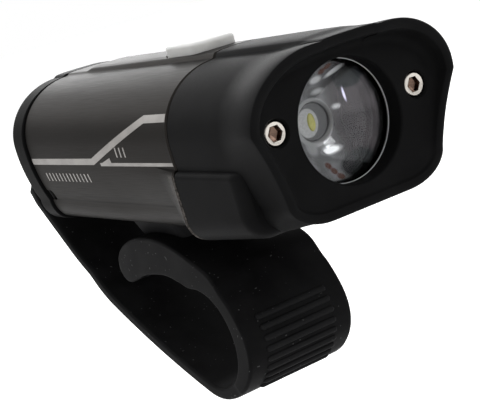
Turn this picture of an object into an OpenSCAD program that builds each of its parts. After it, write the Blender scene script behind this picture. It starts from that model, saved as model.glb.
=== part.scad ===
// Bicycle headlight on a silicone handlebar strap, in millimetres.
// The origin is the axis of the handlebar. X runs along the bar, the lamp shines towards -Y, Z is up.
// Lamp pieces are drawn from the lens axis, with y = 0 at the flat face, and then lifted onto the bar.

/* [Place on the bar] */
// Radius of the handlebar that the relaxed loop holds
bar_r = 11.1; // [10:0.1:13]
// Distance from the bar axis forward to the lamp's flat face
face_ahead = 50; // [47:0.5:53]
// Height of the lens axis above the bar axis
lens_rise = 43; // [42:0.5:46]

/* [Body section] */
// Half width of the shell at its widest
body_half_w = 20.8; // [20:0.1:23]
// Height of that widest line above the lens axis
wide_z = 1.9; // [1:0.1:3]
// Height of the raised spine above the lens axis
spine_top = 15.6; // [15.2:0.1:17]
// Half width of the raised spine
spine_half_w = 5.7; // [5.5:0.1:7]
// Step from the spine down to the shoulder
spine_step = 0.7; // [0.3:0.1:1.2]
// Radius of the gently bowed side below the widest line
side_r = 36; // [30:1:60]
// Depth of the crease line below the lens axis
crease_drop = 11.5; // [10:0.1:13]
// Width of the rounded lower corner
corner_w = 4.5; // [3:0.1:6]
// Depth of the flat bottom below the lens axis
bottom_drop = 17; // [16.6:0.1:18]

/* [Shell] */
// Length of the aluminium shell
shell_len = 66.4; // [64:0.2:80]
// Wall of the shell
shell_wall = 1.8; // [1.4:0.1:2.2]
// Length of the flared lip that meets the front cap
lip_len = 8; // [5:0.5:12]
// Gap at each end seam, filled by a gasket
seam = 0.5; // [0.3:0.1:0.9]
// Distance of the gaskets inside the outline
gasket_inset = 0.5; // [0.3:0.1:0.6]
// Width of the gaskets
gasket_w = 1; // [0.6:0.1:1.1]

/* [Front cap] */
// Depth of the front cap from its flat face to the seam
cap_len = 30; // [29:0.5:36]
// Where the flare of the head begins, behind the face
flare_start = 12; // [9:0.5:16]
// Height of the head above the lens axis
head_top = 15.7; // [15:0.1:17]
// Half width of the head's flat top
head_top_half_w = 8.5; // [7:0.1:12]
// Half width of the head at its widest
head_half_w = 23.3; // [22.5:0.1:25]
// Height of the head's widest line above the lens axis
head_wide_z = 3.4; // [3:0.2:7]
// Half width of the head at its lower corners
head_low_half_w = 18.3; // [17.5:0.1:21]
// Depth of the head's bottom below the lens axis
head_drop = 15.4; // [15:0.1:17]
// Height of the head's rounded lower corners
head_corner_r = 4.4; // [3:0.1:5]
// Width of the head's rounded lower corners
head_corner_w = 7; // [4:0.1:9]
// Reach of the visor ahead of the face, at the top
visor_reach = 5.2; // [3:0.1:8]
// Reach of the rim ahead of the face, at the bottom
rim_reach = 0.5; // [0.3:0.1:1.5]
// Width of the rounded rim
rim_w = 1.9; // [1.4:0.1:2.4]
// Wall of the cap's rear sleeve
cap_wall = 2.4; // [1.8:0.1:2.8]

/* [Chin block] */
// Distance that the chin block stands out from the shell's widest line
chin_proud = 0.9; // [0.4:0.1:2.2]
// Depth of the chin block's top edge below the lens axis
chin_top_drop = 3.4; // [2:0.2:5]
// Depth of the chin block's bottom below the lens axis
chin_drop = 18.5; // [18:0.1:19.5]
// Radius of the chin block's lower corners
chin_corner_r = 5.4; // [3:0.2:7]
// Distance of the chin block's front end behind the face
chin_front = 7.6; // [6:0.2:12]
// Rounding of the chin block's front end and top edge
chin_round = 1.4; // [0.8:0.1:2]

/* [Optics] */
// Radius of the hole in front of the lens
lens_hole_r = 11.4; // [10.5:0.1:11.9]
// Depth of the lens seat behind the face
lens_seat = 3.8; // [3.2:0.1:5]
// Radius of the lens
lens_r = 12.3; // [12:0.1:12.5]
// Thickness of the lens
lens_t = 2; // [1.5:0.1:2.5]
// Thickness of the sealing ring in front of the lens
seal_t = 0.6; // [0.4:0.1:0.9]
// Depth of the reflector, with its neck
reflector_len = 7; // [6:0.2:14]
// Length of the straight neck round the emitter
reflector_neck = 1.5; // [0.5:0.1:2.5]
// Radius of the hole for the emitter
emitter_hole_r = 4; // [3:0.1:4.4]
// Wall of the reflector
reflector_wall = 0.9; // [0.7:0.1:1.2]
// Edge of the square emitter package
emitter_w = 3.5; // [3:0.1:3.9]
// Radius of the emitter's dome
emitter_dome_r = 1.5; // [1.2:0.1:1.7]
// Thickness of the emitter's metal-core board
led_board_t = 1.6; // [1:0.1:2]
// Thickness of the heat sink's plate
sink_t = 3.4; // [2:0.1:4]
// Length of the heat sink's fins
fin_len = 3; // [2:0.1:4]

/* [Fasteners] */
// Distance of each cap screw from the middle
cap_screw_x = 16.1; // [15.8:0.1:16.4]
// Height of the cap screws above the lens axis
cap_screw_z = 2.3; // [1.5:0.1:3]
// Radius of a cap screw's shank
cap_screw_r = 1.2; // [1:0.05:1.4]
// Radius of a cap screw's head
cap_head_r = 2.25; // [2:0.05:2.4]
// Height of a cap screw's head
cap_head_h = 2.5; // [2:0.1:3]
// Length of thread in the shell
thread_len = 10; // [6:0.5:14]
// Radius of the shell's screw channels
channel_r = 2.9; // [2.4:0.1:3.1]
// Distance of each foot screw from the middle
foot_screw_x = 7; // [6:0.1:7.4]
// Radius of a foot screw's shank
foot_screw_r = 1.4; // [1.2:0.05:1.6]

/* [Power unit] */
// Radius of the battery cell
cell_r = 9.2; // [8.5:0.1:9.3]
// Length of the battery cell
cell_len = 65; // [60:0.5:65.2]
// Depth of the cell's axis below the lens axis
cell_drop = 4.8; // [4.5:0.1:5]
// Height of the circuit board's underside above the lens axis
board_z = 6; // [5:0.1:6.4]
// Thickness of the circuit board
board_t = 1.6; // [1:0.1:2]
// Half width of the circuit board
board_half_w = 12; // [10.5:0.1:12.6]

/* [Power button] */
// Distance of the button's middle behind the shell's front end
button_y = 14; // [11.5:0.5:21.5]
// Length of the button
button_len = 18; // [14:0.5:21]
// Width of the button
button_w = 10; // [8:0.1:10.2]
// Height of the button above the spine
button_rise = 3; // [1.2:0.1:3.5]
// Height of the raised land round the button, above the spine
land_rise = 0.7; // [0.3:0.1:1]
// Length of that land behind the shell's front end, up to its ramp
land_len = 54; // [44:1:56]
// Travel of the button
button_travel = 0.8; // [0.4:0.1:1]
// Gap between the button and its slot
button_gap = 0.35; // [0.2:0.05:0.5]

/* [Rear cap] */
// Thickness of the rear cap behind the seam
rear_len = 6.4; // [4:0.1:8]
// Distance that the rear cap stands proud of the shell
rear_proud = 0.6; // [0:0.1:0.8]
// Length of the spigot that enters the shell
spigot_len = 4; // [3:0.2:5]
// Wall of the spigot
spigot_wall = 1.4; // [1:0.1:1.6]
// Width of the charging socket
socket_w = 9; // [8.5:0.1:9.4]
// Height of the charging socket
socket_h = 3.2; // [2.8:0.1:3.4]
// Half width of the strap hook
hook_half_w = 6; // [5:0.2:7]
// Thickness of the strap hook
hook_t = 2.4; // [2:0.1:3]
// Height of the lip at the end of the hook
hook_lip = 1; // [0.6:0.1:1.4]

/* [Port plug] */
// Half width of the plug's flap
flap_half_w = 7.5; // [7:0.1:9]
// Height of the plug's flap
flap_h = 9.1; // [9:0.1:10]
// Thickness of the plug's flap
flap_t = 1.4; // [1:0.1:1.6]
// Length of the tongue that enters the port
tongue_len = 1.6; // [1:0.1:1.8]

/* [Strap] */
// Width of the strap at the loop
strap_w = 27; // [25:0.5:29]
// Thickness of the band round the bar, before it thins towards the tail
band_t = 4.2; // [3.4:0.1:5]
// Extra thickness at the middle of the grip pad
pad_rise = 0.85; // [0.4:0.05:1.5]
// Width of the ribbed grip pad
pad_w = 18.2; // [16:0.2:20]
// Number of ribs on the grip pad
rib_count = 9; // [6:1:11]
// Radius of a rib
rib_r = 0.75; // [0.5:0.05:0.9]
// Thickness of the tail
tail_t = 2.7; // [2.2:0.1:3.2]
// Slope of the tail where it leaves the loop, in degrees
tail_slope = 19.5; // [17:0.5:22]
// Slope that the sagging tail has reached where its bend begins, in degrees
knee_slope = 29; // [27:0.5:32]
// Slope of the tail where it lies on the rear cap, in degrees
rise_slope = 69; // [66:0.5:74]
// Radius of the bend between the two slopes
tail_bend_r = 26; // [20:0.5:28]
// Half width of the tail at its upper end
tail_end_half_w = 18.4; // [17:0.2:19.5]
// Length of the saddle behind the bar axis
saddle_back = 32; // [30:0.5:33]
// Gap between the shell and the saddle's top
neck = 4.3; // [3.6:0.1:5]
// Gap between the tail and the rear cap that it lies on
strap_lift = 0.5; // [0.3:0.1:0.8]

/* [Foot] */
// Half width of the foot where it meets the shell
foot_half_w = 11.6; // [11:0.1:12.6]
// Half width of the foot's flange in the saddle
flange_half_w = 10.4; // [10:0.1:11]
// Thickness of the flange
flange_t = 2.2; // [1.8:0.1:2.6]
// Depth of the flange's top below the saddle's top
flange_cover = 2.4; // [2.2:0.1:2.8]
// Length of the foot along the lamp
foot_len = 18; // [16:0.5:18.5]
// Distance of the foot's middle behind the bar axis
foot_y = 15.5; // [15:0.1:16.2]

/* [Clearances] */
// Gap between fixed pieces
fit_gap = 0.2; // [0.1:0.05:0.25]
// Gap between pieces that move apart
move_gap = 0.3; // [0.2:0.05:0.4]
// Radial gap between a screw and its hole
screw_gap = 0.05; // [0.03:0.01:0.1]

/* [Hidden] */
$fn = 64;
// Overlap that keeps a cut clear of the face that it opens
cut = 1;

// Stations along the lamp, behind its flat face
shell_front = cap_len + seam;
shell_back = shell_front + shell_len;
rear_front = shell_back + seam;
rear_face = rear_front + rear_len;
button_at = shell_front + button_y;
seal_back = lens_seat + seal_t;
lens_back = seal_back + lens_t;
reflector_back = lens_back + reflector_len;
sink_front = reflector_back + led_board_t;
sink_back = sink_front + sink_t;
cell_back = rear_front - spigot_len - fit_gap;
cell_front = cell_back - cell_len;

// Outlines
// A half outline from the top middle to the bottom middle, completed by its mirror image
function mirrored(half) = concat(half, [for (i = [len(half) - 2 : -1 : 1]) [-half[i].x, half[i].y]]);
function oval(centre, a, b, from, to, n) =
    [for (i = [0 : n]) let (t = from + (to - from) * i / n) [centre.x + a * cos(t), centre.y + b * sin(t)]];
function mix(a, b, t) = a + (b - a) * t;

// Section of the lamp body, grown by g all round: spine, shoulder, bowed side, lower corner, bottom
shoulder_x = spine_half_w + spine_step / 2;
side_sweep = asin((wide_z + crease_drop) / side_r);
crease_x = body_half_w - side_r * (1 - cos(side_sweep));
shoulder_n = 10;
side_n = 6;
corner_n = 6;
function body_half(g) = concat(
    [[0, spine_top + g], [spine_half_w + g, spine_top + g]],
    oval([shoulder_x, wide_z], body_half_w - shoulder_x + g, spine_top - spine_step - wide_z + g,
        90 - 90 / shoulder_n / 4, 0, shoulder_n),
    oval([body_half_w - side_r, wide_z], side_r + g, side_r + g,
        -side_sweep / side_n, -side_sweep, side_n - 1),
    oval([crease_x - corner_w, -crease_drop], corner_w + g, bottom_drop - crease_drop + g,
        -90 / corner_n, -90, corner_n - 1),
    [[0, -bottom_drop - g]]
);
function body_outline(g) = mirrored(body_half(g));

// Section of the head at its rim, drawn in by g all round, point for point like the body section
function head_half(g) = concat(
    [[0, head_top + spine_step / 2 - g], [spine_half_w, head_top + spine_step / 2 - g]],
    [[shoulder_x, head_top - g]],
    oval([head_top_half_w - g / 2, head_wide_z],
        head_half_w - head_top_half_w - g / 2, head_top - head_wide_z - g, 90, 0, shoulder_n - 1),
    [for (i = [1 : side_n]) let (t = i / side_n)
        [mix(head_half_w, head_low_half_w, t) - g, mix(head_wide_z, head_corner_r - head_drop, t)]],
    oval([head_low_half_w - head_corner_w, head_corner_r - head_drop], head_corner_w - g, head_corner_r - g,
        -90 / corner_n, -90, corner_n - 1),
    [[0, -head_drop + g]]
);

// Section of the chin block, drawn in by g: top edge, side and lower corner
chin_n = 5;
chin_half_w = body_half_w + chin_proud;
// Lean of the chin block's side inwards, towards its lower corner
chin_lean = 0.4;
function chin_half(g) = concat(
    [[0, -chin_top_drop - g / 2]],
    oval([chin_half_w - chin_round, -chin_top_drop - chin_round],
        chin_round - g, chin_round - g / 2, 90, 0, chin_n),
    oval([chin_half_w - chin_corner_r - chin_lean, chin_corner_r - chin_drop],
        chin_corner_r - g, chin_corner_r - g, 0, -90, chin_n + 1),
    [[0, -chin_drop + g]]
);
// The same points on the shell, where the flared lip runs out
function lip_half() = concat(
    [[0, -chin_top_drop - 2 * chin_round]],
    [for (i = [0 : chin_n]) let (t = side_sweep * mix(lip_share[0], lip_share[1], i / chin_n))
        [body_half_w - side_r * (1 - cos(t)) - lip_sink, wide_z - side_r * sin(t)]],
    oval([crease_x - corner_w, -crease_drop], corner_w - lip_sink, bottom_drop - crease_drop - lip_sink,
        0, -90, chin_n + 1),
    [[0, -bottom_drop + lip_sink]]
);
// Depth at which the lip runs out inside the shell's wall, and the share of the bowed side where it does
lip_sink = shell_wall / 3;
lip_share = [0.48, 0.58];

// A closed skin over rings of points, from the rearmost ring to the foremost, each a list of [x, y, z].
// Triangles run between neighbouring rings, and a fan about its middle closes each end.
function middle(ring) = [for (p = ring) 1] * ring / len(ring);
function skin_faces(rings, n) = concat(
    [for (i = [0 : n - 1]) [(i + 1) % n, i, rings * n]],
    [for (k = [0 : rings - 2]) for (i = [0 : n - 1]) for (half = [0, 1])
        let (a = k * n + i, b = k * n + (i + 1) % n)
        half == 0 ? [a, b, a + n] : [b, b + n, a + n]],
    [for (i = [0 : n - 1]) let (k = (rings - 1) * n) [k + i, k + (i + 1) % n, rings * n + 1]]
);
module skin(rings) {
    ends = [middle(rings[0]), middle(rings[len(rings) - 1])];
    points = concat([for (ring = rings) for (p = ring) p], ends);
    polyhedron(points, skin_faces(len(rings), len(rings[0])), convexity = 6);
}
function ring_at(outline, y) = [for (p = outline) [p.x, y, p.y]];

// Placing
module on_lamp() translate([0, -face_ahead, lens_rise]) children();
module along_y(from, to) translate([0, to, 0]) rotate([90, 0, 0]) linear_extrude(to - from) children();
module across_x(width) translate([-width / 2, 0, 0]) rotate([90, 0, 90]) linear_extrude(width) children();
module rod_y(r, from, to, x = 0, z = 0)
    translate([x, to, z]) rotate([90, 0, 0]) cylinder(r = r, h = to - from);
module rod_x(r, width, y, z) translate([-width / 2, y, z]) rotate([0, 90, 0]) cylinder(r = r, h = width);
module at_cap_screws() for (side = [-1, 1]) translate([side * cap_screw_x, 0, cap_screw_z]) children();
module body_prism(g, from, to) along_y(from, to) polygon(body_outline(g));
module stadium(length, width) {
    square([width, length - width], center = true);
    for (end = [-1, 1]) translate([0, end * (length - width) / 2]) circle(d = width);
}

// Aluminium shell with screw channels, button slot and the flared lip that meets the chin block
boss_wall = 1.4;
boss_rise = 1.6;
boss_r = foot_screw_r + boss_wall;
boss_top = boss_rise - bottom_drop + shell_wall;
clip_w = 3;
clip_h = 2.6;
clip_drop = 10.4;
// Raised land along the spine: its half width, its ramp at the rear, and its top and foot in the wall
land_half_w = spine_half_w - 0.1;
land_ramp = 6;
land_top = spine_top + land_rise;
land_low = spine_top - shell_wall / 2;
module body_shell() color([0.36, 0.35, 0.34]) on_lamp() {
    difference() {
        union() {
            difference() {
                union() {
                    body_prism(0, shell_front, shell_back);
                    across_x(2 * land_half_w) polygon([
                        [shell_front, land_low], [shell_front, land_top],
                        [shell_front + land_len, land_top], [shell_front + land_len + land_ramp, land_low]
                    ]);
                    skin([
                        ring_at(mirrored(lip_half()), shell_front + lip_len),
                        ring_at(mirrored(chin_half(0)), shell_front)
                    ]);
                }
                body_prism(-shell_wall, shell_front - cut, shell_back + cut);
            }
            intersection() {
                screw_channels(0, shell_front, shell_back);
                body_prism(-shell_wall / 2, shell_front, shell_back);
            }
            at_foot_screws() translate([0, 0, -bottom_drop + shell_wall / 2])
                cylinder(r = boss_r, h = boss_top + bottom_drop - shell_wall / 2);
        }
        at_cap_screws() rod_y(cap_screw_r + screw_gap, shell_front - cut, shell_back + cut);
        at_foot_screws() translate([0, 0, -bottom_drop - cut])
            cylinder(r = foot_screw_r + screw_gap, h = boss_top + bottom_drop + 2 * cut);
        translate([0, button_at, 0]) linear_extrude(land_top + cut)
            stadium(button_len + 2 * button_gap, button_w + 2 * button_gap);
        for (side = [-1, 1])
            translate([side * crease_x - shell_wall * 2, shell_back - clip_w, -clip_drop - clip_h / 2])
                cube([shell_wall * 4, clip_w + cut, clip_h]);
    }
}
module at_foot_screws()
    for (side = [-1, 1]) translate([side * foot_screw_x, face_ahead + foot_y, 0]) children();
// Channels for the cap screws, each tied to the wall by a web
web_t = 2.4;
module screw_channels(grow, from, to) {
    at_cap_screws() rod_y(channel_r + grow, from, to);
    for (side = [-1, 1])
        translate([side > 0 ? cap_screw_x : -cap_screw_x - body_half_w, from, cap_screw_z - web_t / 2 - grow])
            cube([body_half_w, to - from, web_t + 2 * grow]);
}

// Moulded front cap: a sleeve that flares into a visored head, a chin block and a recessed face
head_rings = 7;
visor_power = 1.4;
rim_roll = rim_w * 0.35;
function rim_y(z) = -mix(rim_reach, visor_reach,
    pow(max(0, (z + head_drop) / (head_top + spine_step + head_drop)), visor_power));
function head_ring(u) =
    let (sleeve = body_outline(0), head = mirrored(head_half(0)), ease = u * u * (3 - 2 * u))
    [for (i = [0 : len(head) - 1])
        let (p = mix(sleeve[i], head[i], ease)) [p.x, mix(flare_start, rim_y(p.y), u), p.y]];
function rim_ring(g, lead) = [for (p = mirrored(head_half(g))) [p.x, rim_y(p.y) + lead, p.y]];
module front_cap_outside() {
    skin(concat(
        [ring_at(body_outline(0), cap_len)],
        [for (k = [0 : head_rings]) head_ring(k / head_rings)],
        [rim_ring(rim_w * 0.3, -rim_roll * 0.8), rim_ring(rim_w * 0.65, -rim_roll * 0.8), rim_ring(rim_w, 0)],
        [ring_at(mirrored(head_half(rim_w * 1.25)), 0)]
    ));
    across_x(2 * land_half_w) polygon([
        [cap_len, land_low], [cap_len, land_top], [0, head_top + spine_step / 4], [0, land_low]
    ]);
    skin([
        ring_at(mirrored(chin_half(0)), cap_len),
        ring_at(mirrored(chin_half(0)), chin_front + chin_round * 1.5),
        ring_at(mirrored(chin_half(chin_round * 0.35)), chin_front + chin_round * 0.5),
        ring_at(mirrored(chin_half(chin_round * 0.9)), chin_front)
    ]);
}
column_wall = 2;
column_r = cap_screw_r + column_wall;
module front_cap() color([0.05, 0.05, 0.055]) on_lamp() difference() {
    front_cap_outside();
    rod_y(lens_hole_r, -visor_reach, lens_seat + cut);
    rod_y(lens_r + fit_gap, lens_seat, sink_front + cut);
    difference() {
        body_prism(-cap_wall, sink_front, cap_len + cut);
        at_cap_screws() rod_y(column_r, sink_front - cut, cap_len + 2 * cut);
    }
    at_cap_screws() rod_y(cap_screw_r + screw_gap, -visor_reach, cap_len + cut);
    at_cap_screws() rod_y(cap_head_r + fit_gap, -visor_reach, head_seat);
}
head_inset = 0.5;
head_seat = head_inset + cap_head_h;

// Socket head screw along Y, with the top of its head at y = 0
hex_r = 1.15;
hex_depth = 1.4;
module socket_screw(length) {
    difference() {
        rod_y(cap_head_r, 0, cap_head_h);
        rotate([90, 0, 0]) translate([0, 0, -hex_depth]) cylinder(r = hex_r, h = hex_depth + cut, $fn = 6);
    }
    rod_y(cap_screw_r, cap_head_h, length);
}
module front_screws() color([0.8, 0.8, 0.78]) on_lamp() at_cap_screws()
    translate([0, head_inset, 0]) socket_screw(shell_front + thread_len - head_inset);
module rear_screws() color([0.8, 0.8, 0.78]) on_lamp() at_cap_screws()
    translate([0, rear_face - head_inset, 0]) rotate([0, 0, 180])
        socket_screw(rear_face - head_inset - shell_back + thread_len);

// Gaskets at the two seams
module seam_gasket(from) difference() {
    body_prism(-gasket_inset, from, from + seam);
    body_prism(-gasket_inset - gasket_w, from - cut, from + seam + cut);
}
module front_gasket() color([0.12, 0.12, 0.12]) on_lamp() seam_gasket(cap_len);
module rear_gasket() color([0.12, 0.12, 0.12]) on_lamp() seam_gasket(shell_back);

// Optics
module lens() color([0.9, 0.95, 1, 0.4]) on_lamp() rod_y(lens_r, seal_back, lens_back);
module lens_seal() color([0.1, 0.1, 0.1]) on_lamp() difference() {
    rod_y(lens_r, lens_seat, seal_back);
    rod_y(lens_hole_r + fit_gap / 2, lens_seat - cut, seal_back + cut);
}
// Parabola from the mouth to the neck round the emitter, turned about the lens axis
bowl_n = 12;
bowl_len = reflector_len - reflector_neck;
mouth_r = lens_r - reflector_wall;
function bowl_depth(r) =
    bowl_len * (mouth_r * mouth_r - r * r) / (mouth_r * mouth_r - pow(emitter_hole_r, 2));
module reflector() color([0.9, 0.9, 0.92]) on_lamp() translate([0, lens_back, 0]) rotate([-90, 0, 0])
    rotate_extrude() polygon(concat(
        [for (i = [0 : bowl_n]) let (r = mix(mouth_r, emitter_hole_r, i / bowl_n)) [r, bowl_depth(r)]],
        [[emitter_hole_r, reflector_len], [emitter_hole_r + reflector_wall, reflector_len]],
        [for (i = [bowl_n : -1 : 0])
            let (r = mix(mouth_r, emitter_hole_r, i / bowl_n)) [r + reflector_wall, bowl_depth(r)]]
    ));
emitter_base_t = 0.8;
module led_emitter() color([0.95, 0.85, 0.3]) on_lamp() {
    translate([-emitter_w / 2, reflector_back - emitter_base_t, -emitter_w / 2])
        cube([emitter_w, emitter_base_t, emitter_w]);
    intersection() {
        translate([0, reflector_back - emitter_base_t, 0]) sphere(emitter_dome_r);
        rod_y(emitter_dome_r + cut, reflector_back - emitter_base_t - emitter_dome_r - cut,
            reflector_back - emitter_base_t / 2);
    }
}
module led_board() color([0.85, 0.85, 0.8]) on_lamp() rod_y(lens_r - fit_gap, reflector_back, sink_front);
// Plate that carries the emitter board, with fins towards the cell
fin_count = 5;
fin_t = 1.6;
fin_pitch = 5;
fin_h = 16;
module heat_sink() color([0.7, 0.7, 0.72]) on_lamp() difference() {
    union() {
        body_prism(-cap_wall - fit_gap, sink_front, sink_back);
        for (k = [0 : fin_count - 1])
            translate([(k - (fin_count - 1) / 2) * fin_pitch - fin_t / 2, sink_back - cut, -fin_h / 2])
                cube([fin_t, min(fin_len, cell_front - sink_back - fit_gap) + cut, fin_h]);
    }
    at_cap_screws() rod_y(column_r + fit_gap, sink_front - cut, sink_back + cut);
}

// Cell, tray and electronics
tray_gap = 0.3;
tray_front = shell_front + tray_gap;
tray_below_axis = 3;
tray_top = cell_drop + tray_below_axis;
post_w = 2.4;
post_x = board_half_w - post_w / 2;
board_setback = 3;
board_front = shell_front + board_setback;
board_back = rear_front - spigot_len - fit_gap;
board_top = board_z + board_t;
module battery_cell() color([0.25, 0.45, 0.7]) on_lamp() rod_y(cell_r, cell_front, cell_back, z = -cell_drop);
module battery_tray() color([0.2, 0.2, 0.22]) on_lamp() {
    difference() {
        body_prism(-shell_wall - fit_gap, tray_front, cell_back);
        translate([-body_half_w, tray_front - cut, -tray_top])
            cube([2 * body_half_w, cell_back - tray_front + 2 * cut, tray_top + spine_top]);
        rod_y(cell_r + fit_gap / 2, tray_front - cut, cell_back + cut, z = -cell_drop);
        at_foot_screws() translate([0, 0, -bottom_drop]) cylinder(r = boss_r + fit_gap, h = bottom_drop);
    }
    for (side = [-1, 1], y = [board_front + post_w, board_back - post_w * 2])
        translate([side * post_x - post_w / 2, y, -tray_top - cut])
            cube([post_w, post_w, board_z + tray_top + cut]);
}
chip_sizes = [[7, 7, 1.2], [4, 5, 1.4], [5, 3, 1.6]];
chip_start = 14;
chip_pitch = 10;
module circuit_board() color([0.1, 0.35, 0.2]) on_lamp() {
    translate([-board_half_w, board_front, board_z])
        cube([2 * board_half_w, board_back - board_front, board_t]);
    for (k = [0 : len(chip_sizes) - 1])
        translate([-chip_sizes[k].x / 2, button_at + chip_start + chip_pitch * k, board_top - board_t / 2])
            cube(chip_sizes[k] + [0, 0, board_t / 2]);
}
switch_w = 6;
plunger_r = 1.7;
plunger_rise = 0.8;
flange_top = spine_top - spine_step - shell_wall - fit_gap;
button_flange_t = 0.8;
button_bottom = flange_top - button_flange_t;
press_gap = 0.1;
switch_top = button_bottom - button_travel - press_gap;
module tact_switch() color([0.15, 0.15, 0.15]) on_lamp() translate([0, button_at, 0]) {
    translate([-switch_w / 2, -switch_w / 2, board_top])
        cube([switch_w, switch_w, switch_top - board_top - plunger_rise]);
    translate([0, 0, board_top]) cylinder(r = plunger_r, h = switch_top - board_top);
}
flange_lap = 0.9;
button_edge = 0.6;
module power_button() color([0.82, 0.83, 0.84]) on_lamp() translate([0, button_at, 0]) {
    translate([0, 0, button_bottom]) linear_extrude(button_flange_t)
        stadium(button_len + 2 * flange_lap, button_w + 2 * flange_lap);
    translate([0, 0, button_bottom]) linear_extrude(spine_top + button_rise - button_edge - button_bottom)
        stadium(button_len, button_w);
    translate([0, 0, button_bottom]) linear_extrude(spine_top + button_rise - button_bottom)
        stadium(button_len - 2 * button_edge, button_w - 2 * button_edge);
}
socket_wall = 0.35;
socket_foot = 3;
socket_z = board_top + socket_h / 2;
socket_back = rear_face - tongue_len - 2 * fit_gap;
module usb_socket() color([0.75, 0.75, 0.77]) on_lamp() difference() {
    translate([-socket_w / 2, board_back - socket_foot, board_top])
        cube([socket_w, socket_back - board_back + socket_foot, socket_h]);
    translate([-socket_w / 2 + socket_wall, board_back - socket_foot + cut, board_top + socket_wall])
        cube([
            socket_w - 2 * socket_wall, socket_back - board_back + socket_foot, socket_h - 2 * socket_wall
        ]);
}

// Rear cap with its spigot, port, hook and rounded back edge
rear_round = 1.4;
port_round_w = 2.4;
port_round_h = 1.8;
port_w = socket_w + port_round_w;
port_h = socket_h + port_round_h;
hook_drop = 12.4;
hook_spare = 2.2;
hook_reach = strap_lift + tail_t / sin(rise_slope) + hook_spare;
hook_nose = 1.3;
// The rear cap's outline stands proud at the sides and below, with its top level with the shell's
rear_squat = (spine_top - wide_z) / (spine_top + rear_proud - wide_z);
function rear_outline(g) =
    [for (p = body_outline(g)) [p.x, p.y > wide_z ? mix(wide_z, p.y, rear_squat) : p.y]];
module rear_cap() color([0.05, 0.05, 0.055]) on_lamp() difference() {
    union() {
        skin([
            ring_at(rear_outline(rear_proud - rear_round), rear_face),
            ring_at(rear_outline(rear_proud - rear_round * 0.4), rear_face - rear_round * 0.2),
            ring_at(rear_outline(rear_proud), rear_face - rear_round),
            ring_at(rear_outline(rear_proud), rear_front)
        ]);
        difference() {
            body_prism(-shell_wall - fit_gap, rear_front - spigot_len, rear_front + cut);
            body_prism(-shell_wall - fit_gap - spigot_wall,
                rear_front - spigot_len - cut, rear_front + 2 * cut);
            screw_channels(fit_gap, rear_front - spigot_len - cut, rear_front);
        }
        translate([-hook_half_w, rear_face - cut, -hook_drop - hook_t])
            cube([2 * hook_half_w, hook_reach + cut, hook_t]);
        translate([-hook_half_w, rear_face + hook_reach - hook_nose, -hook_drop - hook_t])
            cube([2 * hook_half_w, hook_nose, hook_t + hook_lip]);
    }
    at_cap_screws() rod_y(cap_screw_r + screw_gap, rear_front - spigot_len - cut, rear_face + cut);
    at_cap_screws() rod_y(cap_head_r + fit_gap, rear_face - head_seat, rear_face + cut);
    along_y(rear_front - cut, rear_face + cut) translate([0, socket_z]) rotate(90) stadium(port_w, port_h);
    rod_y(stud_r + screw_gap, rear_front - cut, rear_face + cut, z = stud_z);
}

// Port plug: a flap with a tongue, hung from a tether whose stud sits in the rear cap
stud_r = 1.4;
flap_in = rear_face + fit_gap;
flap_lap = 1.6;
flap_round = 3;
flap_bottom = socket_z - port_h / 2 - flap_lap;
stud_drop = 2.6;
stud_z = flap_bottom - stud_drop;
tether_t = 0.9;
tether_half_w = 3;
tether_round = 2;
tongue_play = 1.2;
module rounded_flap(half_w, low, high, r) {
    translate([-half_w, low]) square([2 * half_w, high - low - r]);
    translate([-half_w + r, low]) square([2 * (half_w - r), high - low]);
    for (side = [-1, 1]) translate([side * (half_w - r), high - r]) circle(r);
}
module port_plug() color([0.07, 0.07, 0.07]) on_lamp() {
    along_y(flap_in, flap_in + flap_t)
        rounded_flap(flap_half_w, flap_bottom + move_gap, flap_bottom + flap_h, flap_round);
    along_y(flap_in - tongue_len, flap_in + flap_t / 2) translate([0, socket_z]) rotate(90)
        stadium(socket_w - 2 * tongue_play, socket_h - tongue_play);
}
module plug_tether() color([0.07, 0.07, 0.07]) on_lamp() {
    along_y(flap_in, flap_in + tether_t) mirror([0, 1])
        rounded_flap(tether_half_w, -flap_bottom, tether_round - stud_z, tether_round);
    rod_y(stud_r, rear_front + fit_gap, flap_in + tether_t / 2, z = stud_z);
}

// Foot: a tapered neck under the shell whose flange is held in the saddle
saddle_top = lens_rise - bottom_drop - neck;
flange_z = saddle_top - flange_cover;
foot_taper = 3.4;
foot_top = lens_rise - bottom_drop;
function neck_half_w(z) = foot_half_w - foot_taper * (foot_top - z) / (foot_top - flange_z);
module foot_section(grow) {
    top = foot_top + (grow > 0 ? cut : 0);
    neck_top = neck_half_w(top) + grow;
    neck_low = neck_half_w(flange_z + grow) + grow;
    polygon([
        [-neck_top, top], [neck_top, top], [neck_low, flange_z + grow],
        [flange_half_w + grow, flange_z + grow], [flange_half_w + grow, flange_z - flange_t - grow],
        [-flange_half_w - grow, flange_z - flange_t - grow], [-flange_half_w - grow, flange_z + grow],
        [-neck_low, flange_z + grow]
    ]);
}
module mount_foot() color([0.1, 0.1, 0.1]) difference() {
    along_y(foot_y - foot_len / 2, foot_y + foot_len / 2) foot_section(0);
    translate([0, -face_ahead, 0]) at_foot_screws() translate([0, 0, flange_z - flange_t - cut]) {
        cylinder(r = foot_screw_r + screw_gap, h = neck + flange_cover + flange_t + 2 * cut);
        cylinder(r = foot_head_r + fit_gap / 2, h = foot_head_h + cut);
    }
}
foot_head_r = foot_screw_r * 1.8;
foot_head_h = 1.6;
foot_screw_end = lens_rise + boss_top - fit_gap;
module foot_screws() color([0.75, 0.75, 0.75]) translate([0, -face_ahead, 0]) at_foot_screws()
    translate([0, 0, flange_z - flange_t]) {
        cylinder(r = foot_head_r, h = foot_head_h);
        cylinder(r = foot_screw_r, h = foot_screw_end - flange_z + flange_t);
    }

// Strap: saddle and front band, in the plane across the bar
function polar(r, a) = r * [cos(a), sin(a)];
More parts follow.
